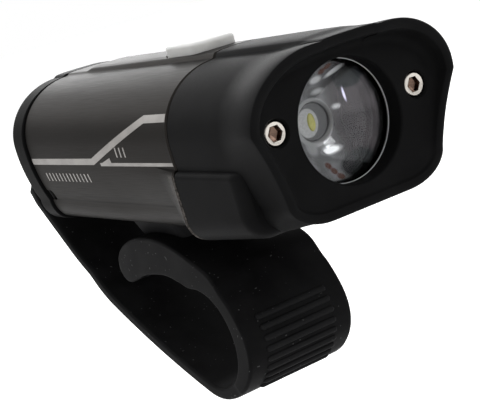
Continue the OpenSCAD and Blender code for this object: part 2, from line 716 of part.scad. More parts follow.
// Smooth curve through the points, by Catmull-Rom pieces of n steps
function pull(p, q, r, s, t) = 0.5 * (2 * q + (r - p) * t + (2 * p - 5 * q + 4 * r - s) * t * t
    + (3 * q - p - 3 * r + s) * t * t * t);
function smooth(points, n) = let (last = len(points) - 1) concat(
    [for (i = [0 : last - 1]) for (k = [0 : n - 1])
        pull(points[max(i - 1, 0)], points[i], points[i + 1], points[min(i + 2, last)], k / n)],
    [points[last]]
);
band_end_angle = 232;
bend_end_angle = 286;
pad_mid_angle = 184;
pad_sweep_angle = 36;
// Angles between which the band thins to the thickness of the tail
thin_from_angle = 200;
thin_to_angle = 256;
function eased(t) = let (u = max(0, min(1, t))) u * u * (3 - 2 * u);
function pad_swell(a) =
    let (t = (a - pad_mid_angle) / pad_sweep_angle) abs(t) < 1 ? pad_rise * pow(cos(90 * t), 2) : 0;
function thinning(a) = eased((a - thin_from_angle) / (thin_to_angle - thin_from_angle));
function band_out(a) = bar_r + mix(band_t, tail_t, thinning(a)) + pad_swell(a);
// The saddle's top line from the band to the rear tip, as distance behind the bar axis and drop from the top
saddle_line = [[-1.8, 4.1], [2.8, 2.2], [12.3, 0], [20.8, 0.3], [28.5, 2.9], [saddle_back, 6.4]];
// Distances of the tip's lower edge and of its heel ahead of the saddle's rear end
tip_edge = 0.8;
tip_heel = 3.6;
// The saddle's underside from the rear tip to the bar seat, as distance behind and rise over the bar seat
under_line = [
    [saddle_back - tip_edge, 0.6], [saddle_back - tip_heel, -1],
    [21, 1.3], [16, 2], [10.5, 2.1], [5.7, 1.1], [2, 0]
];
seat_top_angle = 84;
// Point where the band turns back into the saddle, and the band's last point before it
crown_angle = 117;
crown_rise = 1.35;
band_top_angle = 134;
seat_core = 0.7;
curve_n = 5;
band_n = 14;
function band_profile() = concat(
    smooth(concat(
        [for (k = [0 : band_n])
            let (a = mix(band_end_angle, band_top_angle, k / band_n)) polar(band_out(a), a)],
        [polar(bar_r + band_t + crown_rise, crown_angle)],
        [for (p = saddle_line) [p.x, saddle_top - p.y]]
    ), curve_n),
    smooth([for (p = under_line) [p.x, bar_r + p.y]], curve_n),
    [for (k = [0 : band_n]) polar(bar_r * seat_core, mix(seat_top_angle, band_end_angle, k / band_n))]
);
// Angles of the first and the last rib, the last one clear of the band's end
rib_first_angle = 162;
rib_clear_angle = 4;
rib_last_angle = band_end_angle - rib_clear_angle;
rib_sink = 0.2;
module strap_band() color([0.06, 0.06, 0.065]) difference() {
    union() {
        across_x(strap_w) polygon(band_profile());
        for (k = [0 : rib_count - 1])
            let (a = mix(rib_first_angle, rib_last_angle, k / (rib_count - 1)))
                let (p = polar(band_out(a) - rib_r * rib_sink, a))
                    rod_x(rib_r, pad_w, p.x, p.y);
    }
    rod_x(bar_r, strap_w + 2 * cut, 0, 0);
    along_y(foot_y - foot_len / 2 - fit_gap, foot_y + foot_len / 2 + fit_gap) foot_section(fit_gap);
}
// Flexible stretch under the bar that opens when the tail is unhooked
joint_angle = 0.1;
function bend_angle(t) = mix(band_end_angle + joint_angle, bend_end_angle - joint_angle, t);
module strap_bend() color([0.06, 0.06, 0.065]) difference() {
    across_x(strap_w) polygon(concat(
        [for (k = [0 : bend_n]) polar(band_out(bend_angle(k / bend_n)), bend_angle(k / bend_n))],
        [for (k = [bend_n : -1 : 0]) polar(bar_r * seat_core, bend_angle(k / bend_n))]
    ));
    rod_x(bar_r, strap_w + 2 * cut, 0, 0);
}

// Tail: it leaves the loop, sags in a long arc, and then bends to rise along the rear cap
rear_y = rear_face - face_ahead;
tail_mid_r = bar_r + tail_t / 2;
tail_start = polar(tail_mid_r, 270 + tail_slope);
lie_y = rear_y + strap_lift + tail_t / 2 / sin(rise_slope);
lie_z = lens_rise - bottom_drop + rear_round;
rise_dir = [cos(rise_slope), sin(rise_slope)];
function across(a, b) = a.x * b.y - a.y * b.x;
// Way along an arc of radius r, from one slope to another
function arc_way(r, from, to) = r * [sin(to) - sin(from), cos(from) - cos(to)];
// Radius of the sag, so that the bend after it ends on the line up the rear cap
to_lie = [lie_y, lie_z] - tail_start - arc_way(tail_bend_r, knee_slope, rise_slope);
sag_r = across(to_lie, rise_dir) / across(arc_way(1, tail_slope, knee_slope), rise_dir);
sag_end = tail_start + arc_way(sag_r, tail_slope, knee_slope);
bend_stop = sag_end + arc_way(tail_bend_r, knee_slope, rise_slope);
// Lengths along the rise, from the end of the bend, of the eyelet's start and end
eyelet_below = 4.4;
eyelet_above = 4.6;
eyelet_from = (lens_rise - hook_drop - hook_t - eyelet_below - bend_stop.y) / sin(rise_slope);
eyelet_to = (lens_rise - hook_drop + hook_lip + eyelet_above - bend_stop.y) / sin(rise_slope);
bend_n = 10;
// Stations of the tail's middle line, each as [y, z, slope]
function station(p, slope) = [p.x, p.y, slope];
function tail_path() = concat(
    [station(polar(tail_mid_r, bend_end_angle + joint_angle), bend_end_angle + joint_angle - 270)],
    [for (k = [0 : bend_n]) let (s = mix(tail_slope, knee_slope, k / bend_n))
        station(tail_start + arc_way(sag_r, tail_slope, s), s)],
    [for (k = [1 : bend_n]) let (s = mix(knee_slope, rise_slope, k / bend_n))
        station(sag_end + arc_way(tail_bend_r, knee_slope, s), s)],
    [station(bend_stop + eyelet_from * rise_dir, rise_slope)]
);
function eyelet_path() = [for (l = [eyelet_from, eyelet_to]) station(bend_stop + l * rise_dir, rise_slope)];
function strip(path, t) = concat(
    [for (p = path) [p.x, p.y] + t / 2 * [sin(p.z), -cos(p.z)]],
    [for (i = [len(path) - 1 : -1 : 0]) let (p = path[i]) [p.x, p.y] - t / 2 * [sin(p.z), -cos(p.z)]]
);
flare_z = 11;
tail_end_z = (bend_stop + eyelet_to * rise_dir).y;
end_round = 5;
// Outline of the tail from behind: straight, then widening to the rounded pull end
module tail_outline() polygon(mirrored([
    [0, -2 * bar_r], [strap_w / 2, -2 * bar_r], [strap_w / 2, flare_z],
    [tail_end_half_w, tail_end_z - end_round], [tail_end_half_w, tail_end_z - end_round / 2],
    [tail_end_half_w - end_round / 2, tail_end_z + tail_t], [0, tail_end_z + tail_t]
]));
module tail_strip(path) intersection() {
    across_x(2 * tail_end_half_w) polygon(strip(path, tail_t));
    along_y(-bar_r, rear_y + 3 * bar_r) tail_outline();
}
module strap_tail() color([0.06, 0.06, 0.065]) tail_strip(tail_path());
slot_play = 1.1;
module strap_eyelet() color([0.06, 0.06, 0.065]) difference() {
    tail_strip(eyelet_path());
    along_y(rear_y, rear_y + 3 * bar_r) translate([0, lens_rise - hook_drop - hook_t / 2 + hook_lip / 2])
        square([2 * (hook_half_w + slot_play), hook_t + hook_lip + 2 * slot_play], center = true);
}

body_shell();
front_cap();
rear_cap();
front_gasket();
rear_gasket();
front_screws();
rear_screws();
lens();
lens_seal();
reflector();
led_emitter();
led_board();
heat_sink();
battery_cell();
battery_tray();
circuit_board();
tact_switch();
usb_socket();
power_button();
port_plug();
plug_tether();
mount_foot();
foot_screws();
strap_band();
strap_bend();
strap_tail();
strap_eyelet();
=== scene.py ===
"""Looks of a bicycle headlight on a rubber handlebar strap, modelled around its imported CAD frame."""

import math

import bmesh
import bpy
from bpy.props import FloatProperty, FloatVectorProperty, IntProperty, PointerProperty
from mathutils import Matrix, Vector


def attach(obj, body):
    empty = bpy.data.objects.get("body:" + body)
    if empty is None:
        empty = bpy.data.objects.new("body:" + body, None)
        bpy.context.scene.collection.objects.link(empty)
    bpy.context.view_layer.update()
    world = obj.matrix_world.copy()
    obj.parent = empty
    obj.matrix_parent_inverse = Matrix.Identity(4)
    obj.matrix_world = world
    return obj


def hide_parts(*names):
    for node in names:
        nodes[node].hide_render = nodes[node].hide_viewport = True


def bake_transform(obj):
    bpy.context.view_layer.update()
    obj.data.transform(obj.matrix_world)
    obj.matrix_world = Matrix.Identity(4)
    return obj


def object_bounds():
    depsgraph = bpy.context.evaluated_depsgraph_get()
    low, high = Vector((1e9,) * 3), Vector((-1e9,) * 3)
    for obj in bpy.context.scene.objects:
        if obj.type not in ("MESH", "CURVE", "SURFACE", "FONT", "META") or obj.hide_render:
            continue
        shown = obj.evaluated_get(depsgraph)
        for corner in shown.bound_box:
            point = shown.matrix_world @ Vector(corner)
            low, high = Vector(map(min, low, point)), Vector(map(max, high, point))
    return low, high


bl_info = {
    "name": "Bicycle Headlight",
    "version": (1, 0, 0),
    "blender": (4, 5, 0),
    "location": "View3D > Sidebar > Headlight",
    "description": "Models the visible pieces of a handlebar lamp around its CAD frame",
    "category": "Object",
}

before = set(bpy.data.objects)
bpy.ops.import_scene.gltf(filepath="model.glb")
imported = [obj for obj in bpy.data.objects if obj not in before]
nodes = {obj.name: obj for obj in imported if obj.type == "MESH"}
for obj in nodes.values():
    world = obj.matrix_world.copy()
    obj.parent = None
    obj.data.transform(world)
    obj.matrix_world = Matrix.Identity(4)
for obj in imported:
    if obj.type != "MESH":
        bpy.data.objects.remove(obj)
cad_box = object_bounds()

MM = 0.001
# The lamp's flat face and lens axis, seen from the handlebar's axis, in millimetres
FACE_Y = -50.0
LENS_Z = 43.0


# Settings


def size_setting(name, description, default):
    """A length in millimetres."""
    return FloatProperty(name=name, description=description + ", in millimetres", default=default, min=0)


def colour_setting(name, description, default):
    return FloatVectorProperty(
        name=name, description=description, subtype="COLOR", default=default, min=0, max=1
    )


class HeadlightSizes(bpy.types.PropertyGroup):
    """Sizes that the CAD frame leaves to the looks."""

    edge: size_setting("Metal edge", "Chamfer on the shell's rims", 0.3)
    button_crown: size_setting("Button crown", "Rise of the button's middle over its rim", 0.3)
    rubber_edge: size_setting("Rubber edge", "Rounding of the strap's edges", 0.7)
    stripe: size_setting("Stripe width", "Width of the printed stripe", 1.45)
    ribs: IntProperty(name="Ribs", description="Ribs on the grip pad", default=9, min=3, max=14)


class HeadlightColours(bpy.types.PropertyGroup):
    """Finishes of the lamp."""

    shell: colour_setting("Shell", "Anodised metal", (0.0165, 0.015, 0.0138))
    plastic: colour_setting("Caps", "Moulded plastic", (0.007, 0.007, 0.0072))
    rubber: colour_setting("Strap", "Moulded rubber", (0.0055, 0.0055, 0.0057))
    button: colour_setting("Button", "Translucent rubber", (0.53, 0.53, 0.52))
    stripe: colour_setting("Stripe", "Printed line", (0.265, 0.25, 0.235))


class HeadlightStage(bpy.types.PropertyGroup):
    """Camera, floor and light."""

    focal: FloatProperty(
        name="Lens", description="Focal length on a 36 mm sensor", default=98.88, unit="CAMERA"
    )
    floor: colour_setting("Floor", "Pale studio floor", (0.82, 0.82, 0.82))
    key: FloatProperty(
        name="Key light", description="Power of the overhead softbox", default=3.3, unit="POWER"
    )


def sizes():
    return bpy.context.scene.headlight_sizes


def colours():
    return bpy.context.scene.headlight_colours


# Points and outlines, in millimetres


def mix(a, b, t):
    return a + (b - a) * t


def eased(t):
    """A share that is held between 0 and 1 and leaves both gently."""
    t = min(max(t, 0.0), 1.0)
    return t * t * (3 - 2 * t)


def polar(r, angle):
    """A point at a distance and an angle in degrees."""
    t = math.radians(angle)
    return (r * math.cos(t), r * math.sin(t))


def lamp_point(x, y, z):
    """A point measured from the lens axis and the flat face."""
    return Vector((x, y + FACE_Y, z + LENS_Z)) * MM


def bar_point(x, y, z):
    """A point measured from the handlebar's axis."""
    return Vector((x, y, z)) * MM


def oval(centre, a, b, start, stop, steps):
    """Points on an ellipse, with both angles in degrees."""
    angles = [math.radians(mix(start, stop, k / steps)) for k in range(steps + 1)]
    return [(centre[0] + a * math.cos(t), centre[1] + b * math.sin(t)) for t in angles]


def both_sides(half):
    """A closed outline from its right half, which runs from the top middle to the bottom middle."""
    return half + [(-x, z) for x, z in half[-2:0:-1]]


SPINE_TOP, SPINE_W, SPINE_STEP = 15.6, 5.7, 0.7
BODY_W, WIDE_Z, SIDE_R = 20.8, 1.9, 36.0
CREASE, CORNER_W, BOTTOM = 11.5, 4.5, 17.0
SHOULDER_X = SPINE_W + SPINE_STEP / 2
SIDE_SWEEP = math.degrees(math.asin((WIDE_Z + CREASE) / SIDE_R))
CREASE_X = BODY_W - SIDE_R * (1 - math.cos(math.radians(SIDE_SWEEP)))
SHOULDER_STEPS, SIDE_STEPS, CORNER_STEPS = 30, 12, 9
# The spine's crown and softened edge, as shares of its half width and of its rise
SPINE_CROWN = ((0, 0), (0.35, 0.02), (0.7, 0.08), (0.94, 0.24), (0.99, 0.38), (1.03, 0.6))
SPINE_POINTS = len(SPINE_CROWN) + 1


def spine(top, foot, half_w):
    """The raised spine's half, slightly crowned, with a softened edge and foot."""
    crown = [(half_w * out, top - (top - foot) * drop) for out, drop in SPINE_CROWN]
    return crown + [(half_w + 0.5, foot + 0.1)]


def body_half(g=0.0, land=0.0):
    """Half of the body's section, grown by g, with a land of some height on its spine."""
    shoulder_h = SPINE_TOP - SPINE_STEP - WIDE_Z
    shoulder = oval((SHOULDER_X, WIDE_Z), BODY_W - SHOULDER_X + g, shoulder_h + g, 87.0, 0, SHOULDER_STEPS)
    first = -SIDE_SWEEP / SIDE_STEPS
    side = oval((BODY_W - SIDE_R, WIDE_Z), SIDE_R + g, SIDE_R + g, first, -SIDE_SWEEP, SIDE_STEPS - 1)
    corner = oval((CREASE_X - CORNER_W, -CREASE), CORNER_W + g, BOTTOM - CREASE + g, -9, -90, CORNER_STEPS)
    return (
        spine(SPINE_TOP + g + land, SPINE_TOP - SPINE_STEP + g, SPINE_W + g)
        + shoulder
        + side
        + corner
        + [(x, -BOTTOM - g) for x in (9, 4.5, 0)]
    )


# Land round the button: its height, where its ramp begins and ends, and its height at the face
LAND, LAND_END, RAMP_END, LAND_AHEAD = 0.7, 84.5, 87.1, 1.0
HEAD_TOP, HEAD_TOP_W, HEAD_W, HEAD_WIDE_Z = 15.7, 8.5, 23.3, 3.4
HEAD_LOW_W, HEAD_DROP, HEAD_CORNER, HEAD_CORNER_W, HEAD_WAIST = 18.3, 15.75, 5.85, 9.3, 0.45


def head_half(g=0.0):
    """Half of the head's section at its rim, drawn in by g, point for point like the body's."""
    flat_steps = SHOULDER_STEPS // 10
    flat = [(mix(SHOULDER_X, HEAD_TOP_W - g / 2, k / flat_steps), HEAD_TOP - g) for k in range(flat_steps)]
    shoulder = oval(
        (HEAD_TOP_W - g / 2, HEAD_WIDE_Z),
        HEAD_W - HEAD_TOP_W - g / 2,
        HEAD_TOP - HEAD_WIDE_Z - g,
        90,
        0,
        SHOULDER_STEPS - flat_steps,
    )
    low_z = HEAD_CORNER - HEAD_DROP
    shares = [k / SIDE_STEPS for k in range(1, SIDE_STEPS + 1)]
    side = [
        (mix(HEAD_W, HEAD_LOW_W, t) - HEAD_WAIST * math.sin(math.pi * t) - g, mix(HEAD_WIDE_Z, low_z, t))
        for t in shares
    ]
    corner_at = (HEAD_LOW_W - HEAD_CORNER_W, low_z)
    corner = oval(corner_at, HEAD_CORNER_W - g, HEAD_CORNER - g, -9, -90, CORNER_STEPS)
    top = spine(HEAD_TOP + SPINE_STEP / 2 - g, HEAD_TOP - g, SPINE_W)
    return top + flat + shoulder + side + corner + [(x, -HEAD_DROP + g) for x in (9, 4.5, 0)]


CHIN_W, CHIN_TOP, CHIN_DROP, CHIN_CORNER, CHIN_LEAN, CHIN_ROUND = 21.7, 3.4, 18.5, 5.4, 0.4, 1.4


def chin_half(g=0.0, rise=0.0):
    """Half of the chin block's section, drawn in by g, with its underside raised."""
    top, bottom = -CHIN_TOP - g / 2, -CHIN_DROP + rise + g
    high_at = (CHIN_W - CHIN_ROUND - g / 2, top - CHIN_ROUND)
    low_at = (CHIN_W - CHIN_CORNER - CHIN_LEAN, CHIN_CORNER - CHIN_DROP + rise)
    return (
        [(0, top), (10, top)]
        + oval(high_at, CHIN_ROUND - g / 2, CHIN_ROUND, 90, 0, 6)
        + oval(low_at, CHIN_CORNER - g, CHIN_CORNER - g, 0, -90, 10)
        + [(8, bottom), (0, bottom)]
    )


# The lip's side, from the body's side out over the chin's top corner and down its lean
LIP_FLARE = [
    (20.45, -3.3),
    (21.2, -3.5),
    (21.6, -4.1),
    (21.7, -5.2),
    (21.63, -6.6),
    (21.55, -8.1),
    (21.47, -9.6),
    (21.38, -11.2),
    (21.3, -12.6),
]


def lip_half(g=0.0, land=0.0):
    """The body's section at the front, where its lower sides flare out to meet the chin block."""
    flare = [(x + g, z) for x, z in LIP_FLARE]
    low_at = (CHIN_W - CHIN_CORNER - CHIN_LEAN, CHIN_CORNER - CHIN_DROP)
    flare += oval(low_at, CHIN_CORNER + g, CHIN_CORNER + g, -7, -90, CORNER_STEPS)
    upper = SPINE_POINTS + SHOULDER_STEPS + 1 + SIDE_STEPS - len(LIP_FLARE)
    return body_half(g, land)[:upper] + flare + [(x, -CHIN_DROP - g) for x in (9, 4.5, 0)]


def lamp_ring(half, y):
    """An outline across the lamp, at a distance behind the face that may vary with the height."""
    depth = y if callable(y) else lambda z: y
    return [lamp_point(x, depth(z), z) for x, z in both_sides(half)]


def stadium(length, width, steps=12):
    """Oblong outline, long in its second direction."""
    r, straight = width / 2, (length - width) / 2
    right = [(x, y + straight) for x, y in oval((0, 0), r, r, 90, 0, steps)]
    right += [(x, y - straight) for x, y in oval((0, 0), r, r, 0, -90, steps)]
    return right + [(-x, y) for x, y in right[-2:0:-1]]


def rounded_box(half_w, half_h, r, steps=5):
    """Outline of a rectangle with rounded corners."""
    corners = ((1, 1, 90, 0), (1, -1, 0, -90), (-1, -1, -90, -180), (-1, 1, -180, -270))
    outline = []
    for sx, sy, start, stop in corners:
        outline += oval((sx * (half_w - r), sy * (half_h - r)), r, r, start, stop, steps)
    return outline


# Modelling helpers


def deselect():
    """Leaves edit mode and clears the selection."""
    if bpy.context.object and bpy.context.object.mode != "OBJECT":
        bpy.ops.object.mode_set(mode="OBJECT")
    bpy.ops.object.select_all(action="DESELECT")


def take(obj):
    """Makes obj the only selected and active object."""
    deselect()
    obj.select_set(True)
    bpy.context.view_layer.objects.active = obj


def named(name):
    obj = bpy.context.object
    obj.name = name
    obj.data.name = name
    return obj


def put_ring(obj, ring):
    """Moves the selected ring of vertices onto the points of a section."""
    mesh = bmesh.from_edit_mesh(obj.data)
    place = mesh.verts.layers.int["place"]
    for vert in mesh.verts:
        if vert.select:
            vert.co = ring[vert[place]]
    bmesh.update_edit_mesh(obj.data)


def loft(name, rings, closed=False):
    """Extrudes a ring of vertices from section to section, and fills its ends or joins them."""
    deselect()
    bpy.ops.mesh.primitive_circle_add(vertices=len(rings[0]), radius=1, fill_type="NOTHING")
    obj = named(name)
    bpy.ops.object.mode_set(mode="EDIT")
    bpy.ops.mesh.select_mode(type="EDGE")
    mesh = bmesh.from_edit_mesh(obj.data)
    place = mesh.verts.layers.int.new("place")
    for k, vert in enumerate(mesh.verts):
        vert[place] = k
    bpy.ops.mesh.select_all(action="SELECT")
    put_ring(obj, rings[0])
    if not closed:
        bpy.ops.mesh.edge_face_add()
    for ring in rings[1:] + (rings[:1] if closed else []):
        bpy.ops.mesh.extrude_edges_move(TRANSFORM_OT_translate={"value": (0, 0, 0)})
        put_ring(obj, ring)
    if not closed:
        bpy.ops.mesh.edge_face_add()
    bpy.ops.mesh.select_all(action="SELECT")
    if closed:
        bpy.ops.mesh.remove_doubles(threshold=1e-7)
    bpy.ops.mesh.normals_make_consistent(inside=False)
    bpy.ops.object.mode_set(mode="OBJECT")
    obj.data.attributes.remove(obj.data.attributes["place"])
    return obj


def turned(name, profile, at=(0, 0), segments=64, closed=False):
    """A piece turned about a line along the lamp, from (radius, distance behind the face) pairs."""
    circle = oval((0, 0), 1, 1, 0, 360 - 360 / segments, segments - 1)
    rings = [[lamp_point(at[0] + r * x, y, at[1] + r * z) for x, z in circle] for r, y in profile]
    return loft(name, rings, closed)


def modify(obj, kind, **settings):
    """Adds a modifier and applies it."""
    take(obj)
    modifier = obj.modifiers.new(kind.lower(), kind)
    for key, value in settings.items():
        setattr(modifier, key, value)
    bpy.ops.object.modifier_apply(modifier=modifier.name)
    return obj


def carve(obj, tool, operation="DIFFERENCE"):
    """Cuts a tool out of a piece, or adds it, and removes the tool."""
    modify(obj, "BOOLEAN", operation=operation, object=tool, solver="EXACT")
    bpy.data.objects.remove(tool)
    return obj


def block(name, low, high):
    """A box between two corners, as a start for a tool or a piece."""
    deselect()
    a, b = lamp_point(*low), lamp_point(*high)
    bpy.ops.mesh.primitive_cube_add(size=1, location=(a + b) / 2, scale=b - a)
    bpy.ops.object.transform_apply(location=True, rotation=True, scale=True)
    return named(name)


def soften(obj, width, segments=3):
    """Rounds the sharp edges."""
    sharp = math.radians(40)
    return modify(
        obj, "BEVEL", width=width * MM, segments=segments, limit_method="ANGLE", angle_limit=sharp
    )


def smooth(obj, angle=35):
    """Smooth shading, with flat faces kept flat."""
    take(obj)
    bpy.ops.object.shade_smooth_by_angle(angle=math.radians(angle))
    return modify(obj, "WEIGHTED_NORMAL", keep_sharp=True)


def copy_of(obj, name, shift):
    """A copy with its own mesh, moved by some millimetres."""
    take(obj)
    bpy.ops.object.duplicate(linked=False)
    twin = named(name)
    twin.data.transform(Matrix.Translation(Vector(shift) * MM))
    return twin


def place_piece(obj, look, body, slot, *stands_for):
    """Gives a finished piece its material and its body, and hides the CAD nodes that it stands for."""
    obj.data.materials.clear()
    obj.data.materials.append(look)
    if stands_for:
        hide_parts(*stands_for)
    if body:
        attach(obj, body)


# Materials


class Look:
    """A material around one Principled shader, patterned by the piece's own coordinates."""

    def __init__(self, name, **sockets):
        self.material = bpy.data.materials.new(name)
        self.material.use_nodes = True
        self.tree = self.material.node_tree
        self.shader = self.tree.nodes["Principled BSDF"]
        self.here = self.add("ShaderNodeTexCoord").outputs["Object"]
        for key, value in sockets.items():
            self.shader.inputs[key.replace("_", " ")].default_value = value

    def add(self, kind, **settings):
        node = self.tree.nodes.new(kind)
        for key, value in settings.items():
            setattr(node, key, value)
        return node

    def feed(self, socket, value):
        if isinstance(value, bpy.types.NodeSocket):
            self.tree.links.new(value, socket)
        else:
            socket.default_value = value

    def noise(self, size, detail=3.0, stretch=(1, 1, 1)):
        """Noise with grains of a size in millimetres, drawn out along some axes."""
        mapping = self.add("ShaderNodeMapping")
        mapping.inputs["Scale"].default_value = [1 / (size * MM * k) for k in stretch]
        self.feed(mapping.inputs["Vector"], self.here)
        noise = self.add("ShaderNodeTexNoise")
        noise.inputs["Scale"].default_value = 1.0
        noise.inputs["Detail"].default_value = detail
        self.feed(noise.inputs["Vector"], mapping.outputs["Vector"])
        return noise.outputs["Fac"]

    def band(self, value, low, high, out_low, out_high):
        """Maps a range of a value to another range, smoothly."""
        node = self.add("ShaderNodeMapRange", interpolation_type="SMOOTHSTEP")
        numbers = {"From Min": low, "From Max": high, "To Min": out_low, "To Max": out_high}
        for key, number in numbers.items():
            node.inputs[key].default_value = number
        self.feed(node.inputs["Value"], value)
        return node.outputs["Result"]

    def axis(self, name):
        """One of the piece's own coordinates, in metres."""
        node = self.add("ShaderNodeSeparateXYZ")
        self.feed(node.inputs[0], self.here)
        return node.outputs[name]

    def along(self, name, low, high, out_low, out_high):
        """Maps a stretch of a coordinate, in millimetres, to another range."""
        return self.band(self.axis(name), low * MM, high * MM, out_low, out_high)

    def edges(self, low, high):
        """1 on outer edges and 0 on flats, from the mesh's pointiness: a mask for highlights painted on
        edges.
        """
        return self.band(self.add("ShaderNodeNewGeometry").outputs["Pointiness"], low, high, 0, 1)

    def both(self, a, b):
        """Product of two masks."""
        node = self.add("ShaderNodeMath", operation="MULTIPLY")
        self.feed(node.inputs[0], a)
        self.feed(node.inputs[1], b)
        return node.outputs[0]

    def patch(self, place, reach, soft=0.6, lean=0.0):
        """1 within an oval of some reach about a place in millimetres, falling off to 0 at its edge."""
        node = self.add("ShaderNodeMapping", vector_type="TEXTURE")
        node.inputs["Location"].default_value = [k * MM for k in place]
        node.inputs["Rotation"].default_value = (0, -math.radians(lean), 0)
        node.inputs["Scale"].default_value = [k * MM for k in reach]
        self.feed(node.inputs["Vector"], self.here)
        away = self.add("ShaderNodeVectorMath", operation="LENGTH")
        self.feed(away.inputs[0], node.outputs["Vector"])
        return self.band(away.outputs["Value"], 1 - soft, 1, 1, 0)

    def line(self, value, at, half_w):
        """1 where a coordinate lies within a few millimetres of a height, and 0 away from it."""
        off = self.add("ShaderNodeMath", operation="SUBTRACT")
        self.feed(off.inputs[0], value)
        off.inputs[1].default_value = at * MM
        size = self.add("ShaderNodeMath", operation="ABSOLUTE")
        self.feed(size.inputs[0], off.outputs[0])
        return self.band(size.outputs[0], half_w * 0.4 * MM, half_w * MM, 1, 0)

    def blend(self, fac, a, b):
        """Mixes two colours."""
        node = self.add("ShaderNodeMix", data_type="RGBA")
        self.feed(node.inputs["Factor"], fac)
        self.feed(node.inputs[6], tint(a))
        self.feed(node.inputs[7], tint(b))
        return node.outputs[2]

    def height(self, value, strength, depth):
        """Bump from a height, with its depth in millimetres."""
        node = self.add("ShaderNodeBump")
        node.inputs["Strength"].default_value = strength
        node.inputs["Distance"].default_value = depth * MM
        self.feed(node.inputs["Height"], value)
        previous = self.shader.inputs["Normal"].links
        if previous:
            self.feed(node.inputs["Normal"], previous[0].from_socket)
        self.feed(self.shader.inputs["Normal"], node.outputs["Normal"])

    def colour(self, value):
        self.feed(self.shader.inputs["Base Color"], tint(value))

    def rough(self, value):
        self.feed(self.shader.inputs["Roughness"], value)


def tint(colour):
    if isinstance(colour, bpy.types.NodeSocket):
        return colour
    return (*colour[:3], 1.0)


def shade(colour, k):
    return tuple(c * k for c in colour[:3])


def shell_metal():
    """Satin anodised metal with a long extruded grain, thin dark lines along its side and a painted
    highlight on its lip.
    """
    c = colours().shell
    look = Look("shell_metal", Metallic=0.95, Specular_Tint=(0.6, 0.6, 0.6, 1))
    grain = look.noise(0.12, 4, (1, 60, 1))
    cloud = look.noise(14, 2)
    tone = look.blend(look.band(grain, 0.3, 0.7, 0, 1), shade(c, 0.86), shade(c, 1.14))
    tone = look.blend(look.band(cloud, 0.35, 0.65, 0, 0.35), tone, shade(c, 0.8))
    # Thin dark lines along the side, one at the crease and one above it
    for dark_line_drop in (10.3, CREASE):
        tone = look.blend(look.line(look.axis("Z"), LENS_Z - dark_line_drop, 0.22), tone, shade(c, 0.45))
    # Painted highlight: the flared lip's strip is lightened where it faces the light from behind, broken
    # up by noise
    lip = look.both(look.along("Y", -17.5, -16.6, 1, 0), look.along("Z", 38.5, 39.3, 1, 0))
    lip_highlight = look.both(lip, look.band(look.noise(0.5, 2), 0.36, 0.64, 0.1, 1))
    look.colour(look.blend(lip_highlight, tone, shade(c, 4.5)))
    look.rough(look.band(grain, 0.25, 0.75, 0.36, 0.46))
    look.height(grain, 0.12, 0.02)
    return look.material


def moulded_plastic(name="cap_plastic", k=1.0):
    """Fine spark-textured black moulding, its colour scaled by k, so that a lighter copy paints light on
    it.
    """
    c = shade(colours().plastic, k)
    look = Look(name, IOR=1.47, Specular_IOR_Level=0.016)
    fine = look.noise(0.16, 2)
    cloud = look.noise(9, 3)
    look.colour(look.blend(look.band(cloud, 0.3, 0.7, 0, 1), shade(c, 0.9), shade(c, 1.15)))
    look.rough(look.band(fine, 0.3, 0.7, 0.42, 0.54))
    look.height(fine, 0.25, 0.03)
    return look.material


def strap_rubber(name="strap_rubber"):
    """Matt silicone with a faint bloom, highlights painted on its edges and a few pale specks of dust."""
    c = colours().rubber
    look = Look(name, IOR=1.42, Specular_IOR_Level=0.025)
    fine = look.noise(0.3, 3)
    bloom = look.noise(6, 3)
    speck = look.noise(0.55, 0)
    bloom_and_edge_highlight = look.blend(look.band(bloom, 0.35, 0.7, 0, 0.7), c, shade(c, 1.7))
    # Painted highlight: convex edges lightened threefold
    bloom_and_edge_highlight = look.blend(look.edges(0.53, 0.58), bloom_and_edge_highlight, shade(c, 3))
    look.colour(look.blend(look.band(speck, 0.82, 0.85, 0, 0.5), bloom_and_edge_highlight, (0.12, 0.12, 0.12)))
    look.rough(look.band(bloom, 0.3, 0.7, 0.44, 0.56))
    look.height(fine, 0.2, 0.04)
    return look.material


def button_rubber():
    """Pale translucent silicone."""
    c = colours().button
    look = Look("button_rubber", IOR=1.41, Subsurface_Weight=0.85, Subsurface_Scale=0.004)
    look.shader.inputs["Subsurface Radius"].default_value = (1.0, 0.97, 0.94)
    cloud = look.noise(5, 2)
    fine = look.noise(0.25, 2)
    look.colour(look.blend(look.band(cloud, 0.3, 0.7, 0, 1), shade(c, 0.95), shade(c, 1.04)))
    look.rough(look.band(fine, 0.3, 0.7, 0.38, 0.48))
    look.height(fine, 0.15, 0.02)
    return look.material


def bright_metal(name, colour, rough, grain_size=0.2, stretch=(1, 1, 1)):
    """Plated or machined metal with fine marks."""
    look = Look(name, Metallic=1.0)
    grain = look.noise(grain_size, 3, stretch)
    cloud = look.noise(grain_size * 12, 2)
    look.colour(look.blend(look.band(cloud, 0.35, 0.65, 0, 1), shade(colour, 0.9), colour))
    look.rough(look.band(grain, 0.3, 0.7, rough * 0.8, rough * 1.3))
    look.height(grain, 0.08, 0.01)
    return look.material


def screw_nickel():
    """Warm plating, with a dark brown painted shade down in the sockets of the screws."""
    look = Look("screw_nickel", Metallic=1.0)
    grain = look.noise(0.2, 3)
    pale = look.blend(look.band(grain, 0.35, 0.65, 0, 1), (0.5, 0.47, 0.43), (0.58, 0.545, 0.5))
    # Painted shade: dark brown below the tops of the heads
    socket_shade = look.both(look.along("Y", -49.4, -49.1, 0, 1), look.along("Y", 52.9, 53.2, 1, 0))
    look.colour(look.blend(socket_shade, pale, (0.13, 0.085, 0.065)))
    look.rough(look.band(grain, 0.3, 0.7, 0.16, 0.26))
    look.height(grain, 0.08, 0.01)
    return look.material


